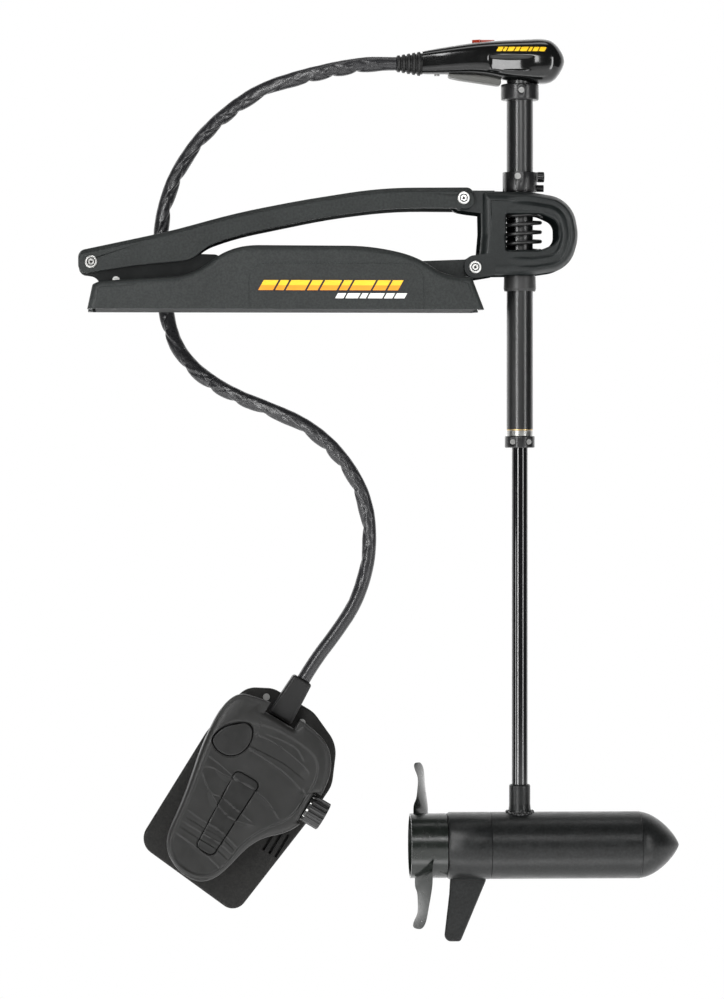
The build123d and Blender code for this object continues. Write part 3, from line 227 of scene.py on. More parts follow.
# Each finish: its colour, its roughness, and what else sets it apart. Most are the record's material slots.
FINISHES = {
    "frame_casting": ((0.014, 0.015, 0.015), 0.85, dict(grain_mm=1.3, grain=0.10, mottle=0.25, specular=0.2)),
    "cover_plastic": ((0.017, 0.0195, 0.019), 0.52, dict(specular=0.3, grain_mm=1.3, grain=0.10,
                                                         mottle=0.10, speckle=0.25)),
    "arm_casting": ((0.013, 0.0155, 0.015), 0.50, dict(specular=0.3, grain_mm=1.6, grain=0.17, mottle=0.14,
                                                       speckle=0.3)),
    "bracket_plastic": ((0.0065, 0.0085, 0.0085), 0.40, dict(specular=0.32, grain_mm=1.3, grain=0.09,
                                                             mottle=0.12, speckle=0.25, dull_sides=True)),
    "stainless": ((0.72, 0.72, 0.70), 0.30, dict(grain_mm=0.5, grain=0.01, mottle=0.10, metal=0.85)),
    "screw_steel": ((0.26, 0.26, 0.255), 0.42, dict(grain_mm=0.5, grain=0.01, mottle=0.15, metal=0.85)),
    "spring_steel": ((0.016, 0.016, 0.016), 0.38, dict(grain_mm=2.0, grain=0.02, mottle=0.2)),
    "bush_plastic": ((0.018, 0.018, 0.018), 0.45, dict(grain_mm=1.0, grain=0.02)),
    "collar_plastic": ((0.007, 0.007, 0.0075), 0.30, dict(grain_mm=1.0, grain=0.02)),
    "tube_black": ((0.005, 0.0053, 0.0055), 0.28, dict(grain_mm=1.6, grain=0.008, mottle=0.2,
                                                       stretch=(1, 1, 0.05), specular=0.65)),
    "bush_bronze": ((0.50, 0.36, 0.17), 0.35, dict(metal=1.0, grain=0.01)),
    "head_gloss": ((0.004, 0.0042, 0.0042), 0.13, dict(grain_mm=6.0, grain=0.015, rough_change=0.03)),
    "boot_rubber": ((0.006, 0.006, 0.006), 0.46, dict(specular=0.35, grain_mm=0.7, grain=0.02)),
    "gear_steel": ((0.45, 0.45, 0.44), 0.35, dict(metal=1.0, grain=0.01)),
    "gear_plastic": ((0.62, 0.61, 0.55), 0.45, dict(grain=0.01)),
    "pointer_red": ((0.42, 0.035, 0.012), 0.30, dict(grain=0.01)),
    "shaft_gloss": ((0.003, 0.003, 0.0035), 0.09, dict(grain_mm=14.0, grain=0.003, rough_change=0.02,
                                                       stretch=(1, 1, 0.3), specular=0.85)),
    "washer_steel": ((0.30, 0.30, 0.29), 0.32, dict(metal=1.0, grain=0.01)),
    "pod_black": ((0.006, 0.0066, 0.0066), 0.34, dict(specular=0.33, grain_mm=1.7, grain=0.16, mottle=0.15,
                                                      speckle=0.5)),
    "magnet": ((0.12, 0.12, 0.12), 0.6, dict(metal=0.6, grain=0.03)),
    "armature_iron": ((0.22, 0.18, 0.14), 0.5, dict(metal=0.7, grain=0.03)),
    "prop_plastic": ((0.006, 0.008, 0.0065), 0.24, dict(grain_mm=0.9, grain=0.02, mottle=0.2)),
    "pedal_base_plastic": ((0.0042, 0.0040, 0.0034), 0.60, dict(specular=0.27, grain_mm=2.0, grain=0.32,
                                                                mottle=0.2, speckle=0.6)),
    "pedal_plastic": ((0.0080, 0.0080, 0.0075), 0.44, dict(specular=0.36, grain_mm=0.8, grain=0.03,
                                                           mottle=0.12)),
    "button_plastic": ((0.006, 0.006, 0.0057), 0.38, dict(specular=0.36, grain_mm=0.8, grain=0.03)),
    "joint_black": ((0.0012, 0.0012, 0.0012), 0.9, dict(grain_mm=0.8, grain=0.01, specular=0.02)),
    "knob_plastic": ((0.010, 0.010, 0.010), 0.32, dict(grain_mm=0.8, grain=0.02)),
    "decal_orange": ((0.80, 0.28, 0.01), 0.35, dict(grain=0.004, mottle=0.05)),
    "decal_yellow": ((0.85, 0.52, 0.02), 0.35, dict(grain=0.004, mottle=0.05)),
    "decal_black": ((0.004, 0.004, 0.006), 0.35, dict(grain=0.004, mottle=0.05)),
    "skid_grey": ((0.07, 0.07, 0.065), 0.45, dict(grain_mm=0.8, grain=0.02)),
    "decal_white": ((0.75, 0.75, 0.73), 0.35, dict(grain=0.004, mottle=0.04)),
    "weld_black": ((0.012, 0.012, 0.0125), 0.25, dict(grain_mm=1.2, grain=0.04)),
    "sheath_vinyl": ((0.015, 0.015, 0.0165), 0.30, dict(grain_mm=2.4, grain=0.12, mottle=0.2, mottle_mm=18)),
}


def make_materials():
    """Every finish in the table, kept by name for the pieces that follow."""
    for name, (colour, rough, options) in FINISHES.items():
        surface(name, colour, rough, **options)


# Moulded and cast pieces that get a rounded edge, with its width in millimetres.
SOFT_EDGES = {"side_cover_front": 0.8, "side_cover_rear": 0.8, "upper_arm": 1.2, "lower_arm": 1.2,
              "bracket_upper_half": 0.7, "bracket_lower_half": 0.7, "base_frame": 0.6, "pedal_base": 0.6,
              "pedal_boot": 1.0, "depth_collar": 0.7, "head_collar": 0.5, "rear_end_bell": 0.4,
              "shaft_clamp": 0.4, "momentary_button": 0.4}
# The small screws are duller than the pivot bolts.
DULL_SCREWS = ("head_screws", "depth_collar_screw", "pedal_screws", "clamp_screws", "cover_screws")


def finish_cad_nodes():
    """Each CAD node takes its slot's finish, and a small rounded edge where it shows."""
    slots = {entry["node"]: entry["material_slot"] for entry in frame["record"]["subparts"]}
    for name, node in NODES.items():
        node.data.materials.clear()
        node.data.materials.append(MATERIALS["screw_steel" if name in DULL_SCREWS else slots[name]])
        if name in SOFT_EDGES:
            weld = node.modifiers.new("weld", "WELD")
            weld.merge_threshold = 0.00001
            bevel = node.modifiers.new("soft_edge", "BEVEL")
            bevel.width = SOFT_EDGES[name] * MM
            bevel.segments = 2
            bevel.limit_method = "ANGLE"
            bevel.angle_limit = math.radians(38)
            bevel.harden_normals = True


# ---------------------------------------------------------------- mesh helpers
def add_mesh(name, verts, faces, material, smooth_angle):
    """A smooth mesh object whose edges stay sharp above the given angle in degrees."""
    mesh = bpy.data.meshes.new(name)
    mesh.from_pydata([tuple(v) for v in verts], [], faces)
    mesh.validate()
    tidy = bmesh.new()
    tidy.from_mesh(mesh)
    bmesh.ops.recalc_face_normals(tidy, faces=tidy.faces)
    tidy.to_mesh(mesh)
    tidy.free()
    mesh.polygons.foreach_set("use_smooth", [True] * len(mesh.polygons))
    mesh.set_sharp_from_angle(angle=math.radians(smooth_angle))
    mesh.materials.append(MATERIALS[material])
    piece = bpy.data.objects.new(name, mesh)
    bpy.context.scene.collection.objects.link(piece)
    return piece


def ring_faces(rings, count, cap_start=False, cap_end=False):
    """Quads between neighbouring rings of count points each."""
    faces = []
    for i in range(rings - 1):
        for j in range(count):
            k = (j + 1) % count
            faces.append((i * count + j, i * count + k, (i + 1) * count + k, (i + 1) * count + j))
    if cap_start:
        faces.append(tuple(range(count))[::-1])
    if cap_end:
        faces.append(tuple((rings - 1) * count + j for j in range(count)))
    return faces


def torus_faces(sides, around):
    """Quads of a closed tube whose points go round each of its sides in turn."""
    faces = []
    for i in range(sides):
        for j in range(around):
            a, b, k = i * around, (i + 1) % sides * around, (j + 1) % around
            faces.append((a + j, a + k, b + k, b + j))
    return faces


def slab_faces(rows, columns):
    """Faces of a closed slab: a grid of points, the same grid below it, and the strip round them."""
    row, sheet = columns + 1, (columns + 1) * (rows + 1)
    faces = []
    for i in range(rows):
        for j in range(columns):
            a = i * row + j
            faces.append((a, a + 1, a + row + 1, a + row))
            faces.append((sheet + a, sheet + a + row, sheet + a + row + 1, sheet + a + 1))
    border = list(range(row)) + [row * (i + 1) + columns for i in range(rows)]
    border += [rows * row + j for j in range(columns - 1, -1, -1)] + [i * row for i in range(rows - 1, 0, -1)]
    return faces + [(a, b, sheet + b, sheet + a) for a, b in zip(border, border[1:] + border[:1])]


def path_length(points):
    """Length of the line through the points."""
    return sum((b - a).length for a, b in zip(points, points[1:]))


def spread_evenly(points, count):
    """The same line as count points an even step apart."""
    along = [0.0]
    for a, b in zip(points, points[1:]):
        along.append(along[-1] + (b - a).length)
    result, k = [], 0
    for i in range(count):
        want = along[-1] * i / (count - 1)
        while k < len(points) - 2 and along[k + 1] < want:
            k += 1
        span = along[k + 1] - along[k]
        result.append(points[k].lerp(points[k + 1], (want - along[k]) / span if span > 0 else 0))
    return result


def blend_between(table, x):
    """Smoothly read a table of (x, value, ...) rows at x."""
    if x <= table[0][0]:
        return table[0][1:]
    for i in range(len(table) - 1):
        x0, x1 = table[i][0], table[i + 1][0]
        if x <= x1:
            t = (x - x0) / (x1 - x0)
            before, after = table[max(i - 1, 0)], table[min(i + 2, len(table) - 1)]
            values = []
            for k in range(1, len(table[i])):
                a, b = table[i][k], table[i + 1][k]
                slope_a = (b - before[k]) / (x1 - before[0]) * (x1 - x0)
                slope_b = (after[k] - a) / (after[0] - x0) * (x1 - x0)
                values.append(a * (2 * t ** 3 - 3 * t ** 2 + 1) + slope_a * (t ** 3 - 2 * t ** 2 + t)
                              + b * (3 * t ** 2 - 2 * t ** 3) + slope_b * (t ** 3 - t ** 2))
            return tuple(values)
    return table[-1][1:]


def smooth(low, high, value):
    """0 at low, 1 at high, and a smooth step between them; high may be the smaller one."""
    t = min(1.0, max(0.0, (value - low) / (high - low)))
    return t * t * (3 - 2 * t)


def signed_power(value, power):
    """A power that keeps its value's sign, which makes a squarish oval of a cosine and a sine."""
    return math.copysign(abs(value) ** power, value)


# ---------------------------------------------------------------- steering head
LEAN = 0.55                         # how far the printed bars lean, as a share of their height
# x, underside, top and half width of the head, in millimetres
HEAD_STATIONS = [(188.4, 324.0, 355.5, 17.0), (205, 323.7, 358.6, 20.0), (227, 323.3, 362.4, 24.5),
                 (257, 322.9, 367.0, 29.5), (279, 320.4, 369.4, 32.0), (300, 316.2, 370.9, 33.6),
                 (330, 312.6, 372.4, 34.0), (351, 311.2, 373.2, 33.4), (363, 312.6, 371.4, 31.2),
                 (371, 317.2, 366.6, 27.6), (378, 326.0, 358.6, 20.5), (382.4, 334.6, 350.6, 12.0),
                 (384.2, 340.6, 344.8, 3.4)]
HEAD_SQUARENESS = [(188.4, 3.2), (260, 3.0), (340, 2.7), (384.2, 2.2)]
PANEL_Y = 30.6                      # half the width between the flat panels on the head's sides
POINTER = (272.0, 17.4, 366.6)      # x of the pointer's well, its radius, and its floor's height


def head_point(x, phi):
    """A point of the head's skin: a squarish oval section with a flat panel on each side."""
    low, top, half = blend_between(HEAD_STATIONS, x)
    middle, tall = (low + top) / 2, (top - low) / 2
    power = 2 / blend_between(HEAD_SQUARENESS, x)[0]
    y = half * signed_power(math.cos(phi), power)
    z = middle + tall * signed_power(math.sin(phi), power)
    panel = smooth(276, 283, x) * smooth(345, 318, x) * smooth(325.5, 329.5, z) * smooth(348, 344.5, z)
    y += (math.copysign(PANEL_Y, y) - y) * panel * smooth(0, 20, abs(y))
    well = smooth(POINTER[1] + 1.0, POINTER[1], math.hypot(x - POINTER[0], y)) * smooth(350, 360, z)
    z += (min(z, POINTER[2]) - z) * well
    return Vector((x, y, z)) * MM


def make_head():
    """The glossy upper shell, drawn in rings that close up towards its rounded end."""
    around, rings = 220, 180
    first, last = HEAD_STATIONS[0][0], HEAD_STATIONS[-1][0]
    verts = []
    for i in range(rings + 1):
        t = i / rings
        x = first + (last - first) * (1 - (1 - t) ** 1.5)
        verts += [head_point(x, 2 * math.pi * j / around) for j in range(around)]
    skin = add_mesh("head_skin", verts, ring_faces(rings + 1, around, True, True), "head_gloss", 50)
    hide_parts("head_upper_shell")
    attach(skin, "tube_and_head")
    make_skid()
    make_head_decal()


def make_skid():
    """The plate under the head: a shallow tray with a rounded lower edge."""
    stations = [(224.8, 323.0, 320.4), (227, 323.4, 318.6), (240, 323.4, 315.8), (262, 323.0, 312.6),
                (278, 321.4, 310.2), (291, 318.8, 308.4), (294.5, 317.6, 308.6), (296, 317.0, 311.0)]
    around, half = 48, 14.0
    verts = []
    for x, top, low in stations:
        middle, tall = (top + 1.5 + low) / 2, (top + 1.5 - low) / 2
        for j in range(around):
            phi = 2 * math.pi * j / around
            verts.append(Vector((x, half * signed_power(math.cos(phi), 0.5),
                                 middle + tall * signed_power(math.sin(phi), 0.5))) * MM)
    skid = add_mesh("head_skid", verts, ring_faces(len(stations), around, True, True), "skid_grey", 40)
    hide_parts("head_lower_shell")
    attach(skid, "tube_and_head")


def decal(name, bars, surface_y, material, body, side, lift=0.12):
    """Thin leaning bars (x0, x1, z0, z1) that follow a surface, with their undersides sunk into it."""
    sunk, up = -0.25, 6
    verts, faces = [], []
    for x0, x1, z0, z1 in bars:
        across = max(3, round((x1 - x0) / 2))
        start = len(verts)
        for layer in (lift, sunk):
            for j in range(up + 1):
                for i in range(across + 1):
                    z = z0 + (z1 - z0) * j / up
                    x = x0 + (x1 - x0) * i / across + LEAN * (z - bars[0][2])
                    verts.append(Vector((x, side * (surface_y(x, z) + layer), z)) * MM)
        faces += [tuple(start + v for v in face) for face in slab_faces(up, across)]
    film = add_mesh(name, verts, faces, material, 30)
    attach(film, body)


def block_row(x0, x1, z0, z1, widths, gap):
    """Bars of the given relative widths that fill a row from x0 to x1."""
    unit = (x1 - x0 - gap * (len(widths) - 1)) / sum(widths)
    bars, x = [], x0
    for width in widths:
        bars.append((x, x + width * unit, z0, z1))
        x += width * unit + gap
    return bars


def head_side_y(x, z):
    """How far the head's skin stands out from its middle plane at x and z."""
    low, top, half = blend_between(HEAD_STATIONS, x)
    middle, tall = (low + top) / 2, (top - low) / 2
    squareness = blend_between(HEAD_SQUARENESS, x)[0]
    return half * max(0.0, 1 - abs((z - middle) / tall) ** squareness) ** (1 / squareness)


def make_head_decal():
    """A row of plain leaning bars on each side of the head."""
    bars = block_row(288, 354, 353.6, 359.6, (5, 3, 6, 4, 7, 3, 5, 6), 1.6)
    for side, label in ((-1, "front"), (1, "rear")):
        decal("head_stripes_" + label, bars, head_side_y, "decal_yellow", "tube_and_head", side)


def make_cover_decals():
    """Plain leaning bars, yellow over orange on black, and a white row, on each cover's panel."""
    panel_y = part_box("side_cover_rear")[1][1] / MM - 1.2
    widths = (7, 4, 9, 5, 8, 4, 10, 6, 5)
    shapes = [("yellow", "decal_yellow", block_row(-34.2, 155, 32.2, 39.0, widths, 3.0), 0.22),
              ("orange", "decal_orange", block_row(-38, 151.2, 25.4, 32.2, widths, 3.0), 0.22),
              ("white", "decal_white", block_row(66, 160, 14.5, 21.5, (4, 6, 3, 7, 4, 5), 2.4), 0.22),
              ("edge", "decal_black", [(-41, 154, 23.6, 41.0)], 0.10),
              ("white_edge", "decal_black", [(64, 162, 12.9, 23.6)], 0.08)]
    for side, label in ((-1, "front"), (1, "rear")):
        for name, material, bars, lift in shapes:
            decal(f"cover_bars_{name}_{label}", bars, lambda x, z: panel_y, material, "mount", side, lift)


# ---------------------------------------------------------------- pivot bolts
def ring_mesh(name, centre, radius, thick, material, sides, body):
    """A ring about the Y axis; a thickness equal to the radius closes it into a plug."""
    verts, around = [], 12
    for i in range(sides):
        turn = 2 * math.pi * i / sides
        out = Vector((math.cos(turn), 0, math.sin(turn)))
        for j in range(around):
            phi = 2 * math.pi * j / around
            verts.append((centre + out * (radius + thick * math.cos(phi))
                          + Vector((0, 0.8 * thick * math.sin(phi), 0))) * MM)
    ring = add_mesh(name, verts, torus_faces(sides, around), material, 30)
    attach(ring, body)


def make_bolt_details():
    """Painted shade in each pivot bolt's dished head: a dark ring in its recess, and a dark plug in its
    socket.
    """
    for node in ("arm_pivot_bolts", "arm_tip_bolts", "lower_arm_tip_bolts"):
        low, high = (Vector(corner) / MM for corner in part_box(node))
        body = next(name for name, empty in frame["bodies"].items() if empty == NODES[node].parent)
        head = (high.x - low.x) / 2
        for side, label in ((-1, "front"), (1, "rear")):
            face = low.y if side < 0 else high.y
            centre = Vector(((low.x + high.x) / 2, face - side * 0.9, (low.z + high.z) / 2))
            # painted shade: a dark ring of boot rubber laid in the dished head's recess, where shade falls
            ring_mesh(f"{node}_seal_{label}", centre, head * 0.60, head * 0.11, "boot_rubber", 48, body)
            centre.y = face - side * 1.0
            # painted shade: a dark plug that fills the socket, where shade falls
            ring_mesh(f"{node}_socket_{label}", centre, head * 0.12, head * 0.11, "boot_rubber", 6, body)


# ---------------------------------------------------------------- bracket
# The bracket's edge, from the top round its outboard end to the bottom: x, z and corner radius in millimetres
BRACKET_RIM = [(292, 162.4, 0), (335, 161.5, 120), (392, 152, 44), (401, 100, 60), (388, 56, 40),
               (340, 48.5, 70), (292, 47.9, 0)]
# How far in from that edge, and how high the moulded rolls stand there, in millimetres.
ROLLS = [(0.8, -0.4), (2.5, 1.2), (6.0, 3.7), (9.5, 2.4), (13.0, 0.2), (16.5, 1.9), (19.5, 3.0), (22.5, 1.7),
         (25.0, -0.4)]
ROLL_SINK = 0.4                     # how deep the rolls' borders lie in the bracket


def round_corners(corners, steps=14):
    """Points along straight runs that are joined by an arc of the given radius at each corner."""
    points = [Vector(corners[0][:2])]
    for before, (x, z, radius), after in zip(corners, corners[1:], corners[2:]):
        corner = Vector((x, z))
        back, on = (Vector(before[:2]) - corner).normalized(), (Vector(after[:2]) - corner).normalized()
        half = back.angle(on) / 2
        centre = corner + (back + on).normalized() * (radius / math.sin(half))
        start, end = (corner + way * (radius / math.tan(half)) - centre for way in (back, on))
        first = math.atan2(start.y, start.x)
        turn = (math.atan2(end.y, end.x) - first + math.pi) % (2 * math.pi) - math.pi
        for k in range(steps + 1):
            angle = first + turn * k / steps
            points.append(centre + radius * Vector((math.cos(angle), math.sin(angle))))
    return points + [Vector(corners[-1][:2])]


def make_bracket_rolls():
    """The soft double roll round the bracket's outboard end, on both of its faces."""
    count, rows = 170, 44
    rim = spread_evenly(round_corners(BRACKET_RIM), count)
    verts, faces = [], []
    for name in ("bracket_upper_half", "bracket_lower_half"):
        node, start = NODES[name], len(verts)
        verts += [node.matrix_world @ v.co for v in node.data.vertices]
        faces += [[start + v for v in face.vertices] for face in node.data.polygons]
    solid = BVHTree.FromPolygons(verts, faces)
    for side, name in ((-1, "bracket_roll_front"), (1, "bracket_roll_rear")):
        layers = [[], []]
        for k, point in enumerate(rim):
            along = (rim[min(k + 1, count - 1)] - rim[max(k - 1, 0)]).normalized()
            inward = Vector((along.y, -along.x))
            fade = smooth(0.0, 0.16, k / (count - 1)) * smooth(1.0, 0.84, k / (count - 1))
            for row in range(rows):
                inset = ROLLS[0][0] + (ROLLS[-1][0] - ROLLS[0][0]) * row / (rows - 1)
                x, z = point + inward * inset
                outside = Vector((x * MM, side * 0.08, z * MM))
                face = side * solid.ray_cast(outside, Vector((0, -side, 0)))[0].y / MM
                lift = (blend_between(ROLLS, inset)[0] + ROLL_SINK) * fade - ROLL_SINK
                for layer, y in zip(layers, (face + lift, face - 2 * ROLL_SINK)):
                    layer.append((x * MM, side * y * MM, z * MM))
        piece = add_mesh(name, layers[0] + layers[1], slab_faces(count - 1, rows - 1), "bracket_plastic", 60)
        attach(piece, "bracket")


# ---------------------------------------------------------------- motor pod
def make_weld():
    """The lumpy bead where the shaft's sleeve meets the pod."""
    low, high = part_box("inner_shaft")
    shaft_x = (low[0] + high[0]) / 2 / MM
    pod_z, pod_r, ring_r = -733.0, 46.0, 17.4
    steps, around = 150, 14
    verts = []
    for i in range(steps):
        turn = 2 * math.pi * i / steps
        out = Vector((math.cos(turn), math.sin(turn), 0))
        bead = 2.3 + 0.5 * math.sin(turn * 17) + 0.6 * noise.noise(out * 4.0)
        middle = Vector((shaft_x, 0, pod_z)) + out * ring_r
        middle.z += math.sqrt(pod_r ** 2 - middle.y ** 2) + 0.4
        for j in range(around):
            phi = 2 * math.pi * j / around
            verts.append((middle + out * bead * math.cos(phi) + Vector((0, 0, bead * math.sin(phi)))) * MM)
    bead = add_mesh("neck_weld", verts, torus_faces(steps, around), "weld_black", 180)
    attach(bead, "shaft_and_motor")


# ---------------------------------------------------------------- foot pedal
# The pedal's own axes: x runs across it, y to its toe and z up from its sole.
PEDAL_CENTRE = Vector((-81.1, 24.0, -684.9))
PEDAL_TOE = Vector((0.511, 0.0, 0.8596))
PEDAL_UP = Vector((0, -1, 0))
PEDAL_ACROSS = PEDAL_TOE.cross(PEDAL_UP)
ROCKER_CURVE = [(-46, 157), (-70, 150), (-80, 118), (-74.5, 62), (-64, 14), (-57.5, -26), (-54.5, -62),
                (-44, -84), (-18, -99), (12, -100), (31, -85), (40, -60), (47, -25), (60, -1), (84, 20),
                (98, 48), (99, 88), (94, 124), (70, 154), (20, 162), (-20, 162)]
WELL_CURVE = [(-30, 128), (-68, 112), (-66, 60), (-57, 10), (-52, -40), (-46, -74), (-26, -92), (2, -95),
              (25, -84), (36, -60), (40, -24), (54, 6), (78, 34), (83, 68), (84, 104), (70, 130), (36, 136),
              (0, 136)]
# Moulded steps in the tread: points along each, its height to the left, and how far it fades.
STEPS = [(((-30, 112), (1, 116), (30, 114), (64, 107.5), (71, 100)), 2.0, 8),
         (((-30, 95), (1, 97.3), (34, 98.6), (72, 93)), -1.5, 7),
         (((-26, 91), (4, 91), (40, 88), (75, 79)), 1.7, 7),
         (((70, 82), (79, 76), (81, 50)), 1.4, 6),
         (((-64, 36), (-50, 44.3), (-30, 44.7), (-4, 47.7), (19, 47.2), (46, 40.4), (70, 27)), 1.9, 8),
         (((-62, 37), (-51, 26.7), (-37, 16.8), (-12, 3.3), (14, -1.4), (44, 7)), 2.2, 7),
         (((-40, 11), (-28, 14.5), (-14, 16.3), (12, 11.6), (40, 8)), 1.6, 6),
         (((-66, 56), (-42, 53.7), (-22, 49.7), (-8, 49)), 1.3, 6),
         (((-12, 120), (15.5, 124.7), (38.5, 124.2), (58, 113)), 1.7, 6),
         (((-52, -21), (-24, -23.8), (4.4, -24), (42, -33)), 1.5, 4),
         (((-50, -31), (-16, -31.5), (12, -31.5), (40, -38)), -1.3, 4),
         (((-50, -38), (-16, -38.8), (12, -39), (40, -44)), 1.5, 4),
         (((-50, -46), (-16, -47.3), (12, -48), (41, -54)), -1.3, 4),
         (((-51, -56), (-20, -58.6), (10.5, -62.9), (40, -70)), 1.8, 6)]
HEEL_LIP = ((-50, -70), (-41, -84), (-26, -94), (-6, -98.5), (14, -94), (28, -83))
BUTTON_CURVE = [(-70, 78), (-64, 101), (-40, 122), (-27, 118), (-20.5, 101), (-24, 81), (-38, 68.5),
                (-57, 68.5)]
NOTCH = [(-27, 145.5), (21, 145.5), (30, 172), (-36, 172)]
KNOB_ROOM = [(88, 84), (88, 41), (130, 24), (130, 101)]
ROCKER_MIDDLE = (5.0, 35.0)
TREAD = {}                          # the tread's searchable lines, filled by make_rocker
ROCKER_FLAT = 72.0                  # the CAD rocker's top
HINGE_Y, ROCKER_LOW, RELIEF = 14.0, 15.0, math.radians(19.0)
TREAD_WALL = 4.5                    # how far the tread's underside lies below the CAD rocker's top
SKIRT_WALL, SKIRT_TOP = 2.0, 62.0   # the skirt's thickness, and how high its inner face goes
BUTTON_FLOOR = (60.4, 59.9)         # heights of the tread's top and underside round the button
INSERT_END, INSERT_CORNER = 59.0, 8.0
INSERT_HEEL, INSERT_TOE = 13.3, 18.8        # the strip's half widths at its two ends
INSERT_LOW = 2.9                    # how far the strip's underside lies below the CAD rocker's top
KNOB_Y, KNOB_Z, KNOB_R = 63.0, 50.0, 20.0


def pedal_point(x, y, z):
    """A point given in the pedal's own axes in millimetres, in the scene's metres."""
    return (PEDAL_CENTRE + PEDAL_ACROSS * x + PEDAL_TOE * y + PEDAL_UP * z) * MM


def rounded_polygon(corners, steps=14):
    """Points along a closed curve that touches the middle of each side and rounds each corner."""
    points = []
    for i, (x, y) in enumerate(corners):
        before, after = corners[i - 1], corners[(i + 1) % len(corners)]
        start = ((x + before[0]) / 2, (y + before[1]) / 2)
        end = ((x + after[0]) / 2, (y + after[1]) / 2)
        for k in range(steps):
            t = k / steps
            points.append(tuple((1 - t) ** 2 * start[n] + 2 * t * (1 - t) * (x, y)[n] + t * t * end[n]
                                for n in (0, 1)))
    return points


def ray_reach(outline, angle):
    """Distance from the rocker's middle to the outline in a direction, or None where it is missed."""
    cx, cy = ROCKER_MIDDLE
    dx, dy = math.cos(angle), math.sin(angle)
    best = None
    for (ax, ay), (bx, by) in zip(outline, outline[1:] + outline[:1]):
        ex, ey = bx - ax, by - ay
        cross = dx * ey - dy * ex
        if abs(cross) < 1e-9:
            continue
        reach = ((ax - cx) * ey - (ay - cy) * ex) / cross
        share = ((ax - cx) * dy - (ay - cy) * dx) / cross
        if reach > 0 and -1e-6 <= share <= 1 + 1e-6 and (best is None or reach < best):
            best = reach
    return best


def open_curve(points, steps=10):
    """Points along a smooth open curve through the given ones."""
    padded = [points[0]] + list(points) + [points[-1]]
    curve = []
    for a, b, c, d in zip(padded, padded[1:], padded[2:], padded[3:]):
        for k in range(steps):
            t = k / steps
            curve.append(tuple(0.5 * (2 * b[n] + (c[n] - a[n]) * t
                                      + (2 * a[n] - 5 * b[n] + 4 * c[n] - d[n]) * t ** 2
                                      + (3 * b[n] - a[n] - 3 * c[n] + d[n]) * t ** 3) for n in (0, 1)))
    return curve + [tuple(points[-1])]


def make_line(points, closed, step=0.7):
    """A searchable line: evenly spread points, their directions, and a tree over them."""
    ends = points[1:] + (points[:1] if closed else [])
    spread, along = [], []
    for (ax, ay), (bx, by) in zip(points, ends):
        length = math.hypot(bx - ax, by - ay)
        if length < 1e-9:
            continue
        count = max(1, round(length / step))
        for k in range(count):
            spread.append((ax + (bx - ax) * k / count, ay + (by - ay) * k / count))
            along.append(((bx - ax) / length, (by - ay) / length))
    tree = kdtree.KDTree(len(spread))
    for i, (x, y) in enumerate(spread):
        tree.insert((x, y, 0), i)
    tree.balance()
    return tree, spread, along


def from_line(line, x, y):
    """Distance from a line, positive on its left, and the share of the line where it is nearest."""
    tree, spread, along = line
    _, i, away = tree.find((x, y, 0))
    tx, ty = along[i]
    side = tx * (y - spread[i][1]) - ty * (x - spread[i][0])
    return math.copysign(away, side), i / (len(spread) - 1)


def insert_half(y):
    """Half width of the long inset strip at y."""
    return INSERT_HEEL + (INSERT_TOE - INSERT_HEEL) * (y + INSERT_END) / (2 * INSERT_END)


def insert_distance(x, y):
    """Signed distance from the inset strip's rounded outline, negative inside."""
    dx = abs(x) - insert_half(y) + INSERT_CORNER
    dy = abs(y) - INSERT_END + INSERT_CORNER
    return math.hypot(max(dx, 0), max(dy, 0)) + min(max(dx, dy), 0) - INSERT_CORNER


def corner_inset(y):
    """How far the strip's rounded corners draw its sides in at y."""
    past = INSERT_CORNER - min(INSERT_END - abs(y), INSERT_CORNER)
    return INSERT_CORNER - math.sqrt(max(INSERT_CORNER ** 2 - past ** 2, 0.0))


def tread_height(x, y):
    """Height of the pedal's tread over its sole."""
    edge = abs(from_line(TREAD["rim"], x, y)[0])
    well = from_line(TREAD["well"], x, y)[0]
    z = ROCKER_FLAT + 3.2
    if well < 0:
        share = min(1.0, -well / (edge - well + 1e-6))
        z -= 8.0 * (1 - math.sqrt(1 - share ** 2 * 0.98))
    else:
        z -= 1.6 * smooth(0, 3.6, well) + 1.2 * smooth(0, 32, well)
    calm = smooth(-2, 3, well)
    for line, height, reach in TREAD["steps"]:
        away, share = from_line(line, x, y)
        if abs(away) < 4 * reach:
            fade = smooth(0, 0.16, share) * smooth(1, 0.84, share) * calm
            z += height * fade * (smooth(-0.8, 0.8, away) - 0.5) * math.exp(-abs(away) / reach)
    away, share = from_line(TREAD["lip"], x, y)
    ends = smooth(0, 0.1, share) * smooth(1, 0.9, share)
    z -= 1.9 * ends * math.exp(-(away / 1.3) ** 2)
    z += 0.9 * ends * math.exp(-((away + 3.4) / 1.8) ** 2)
    return z


def rocker_outline(count, grow):
    """The rocker's rim as (x, y) points, one for each of count directions."""
    curve, directions = rounded_polygon(ROCKER_CURVE), 4000
    rim = []
    for k in range(directions):
        angle = 2 * math.pi * k / directions
        reach = ray_reach(curve, angle)
        for cut in (NOTCH, KNOB_ROOM):
            stop = ray_reach(cut, angle)
            if stop is not None:
                reach = min(reach, stop)
        rim.append((ROCKER_MIDDLE[0] + (reach + grow) * math.cos(angle),
                    ROCKER_MIDDLE[1] + (reach + grow) * math.sin(angle)))
    along = [0.0]
    for a, b in zip(rim, rim[1:] + rim[:1]):
        along.append(along[-1] + math.hypot(b[0] - a[0], b[1] - a[1]))
    result, k = [], 0
    for i in range(count):
        want = along[-1] * i / count
        while along[k + 1] < want:
            k += 1
        result.append(rim[k])
    return result


def skirt_low(y):
    """Height of the rocker's lower edge, which rises away from the hinge."""
    return ROCKER_LOW + abs(y - HINGE_Y) * math.tan(RELIEF)


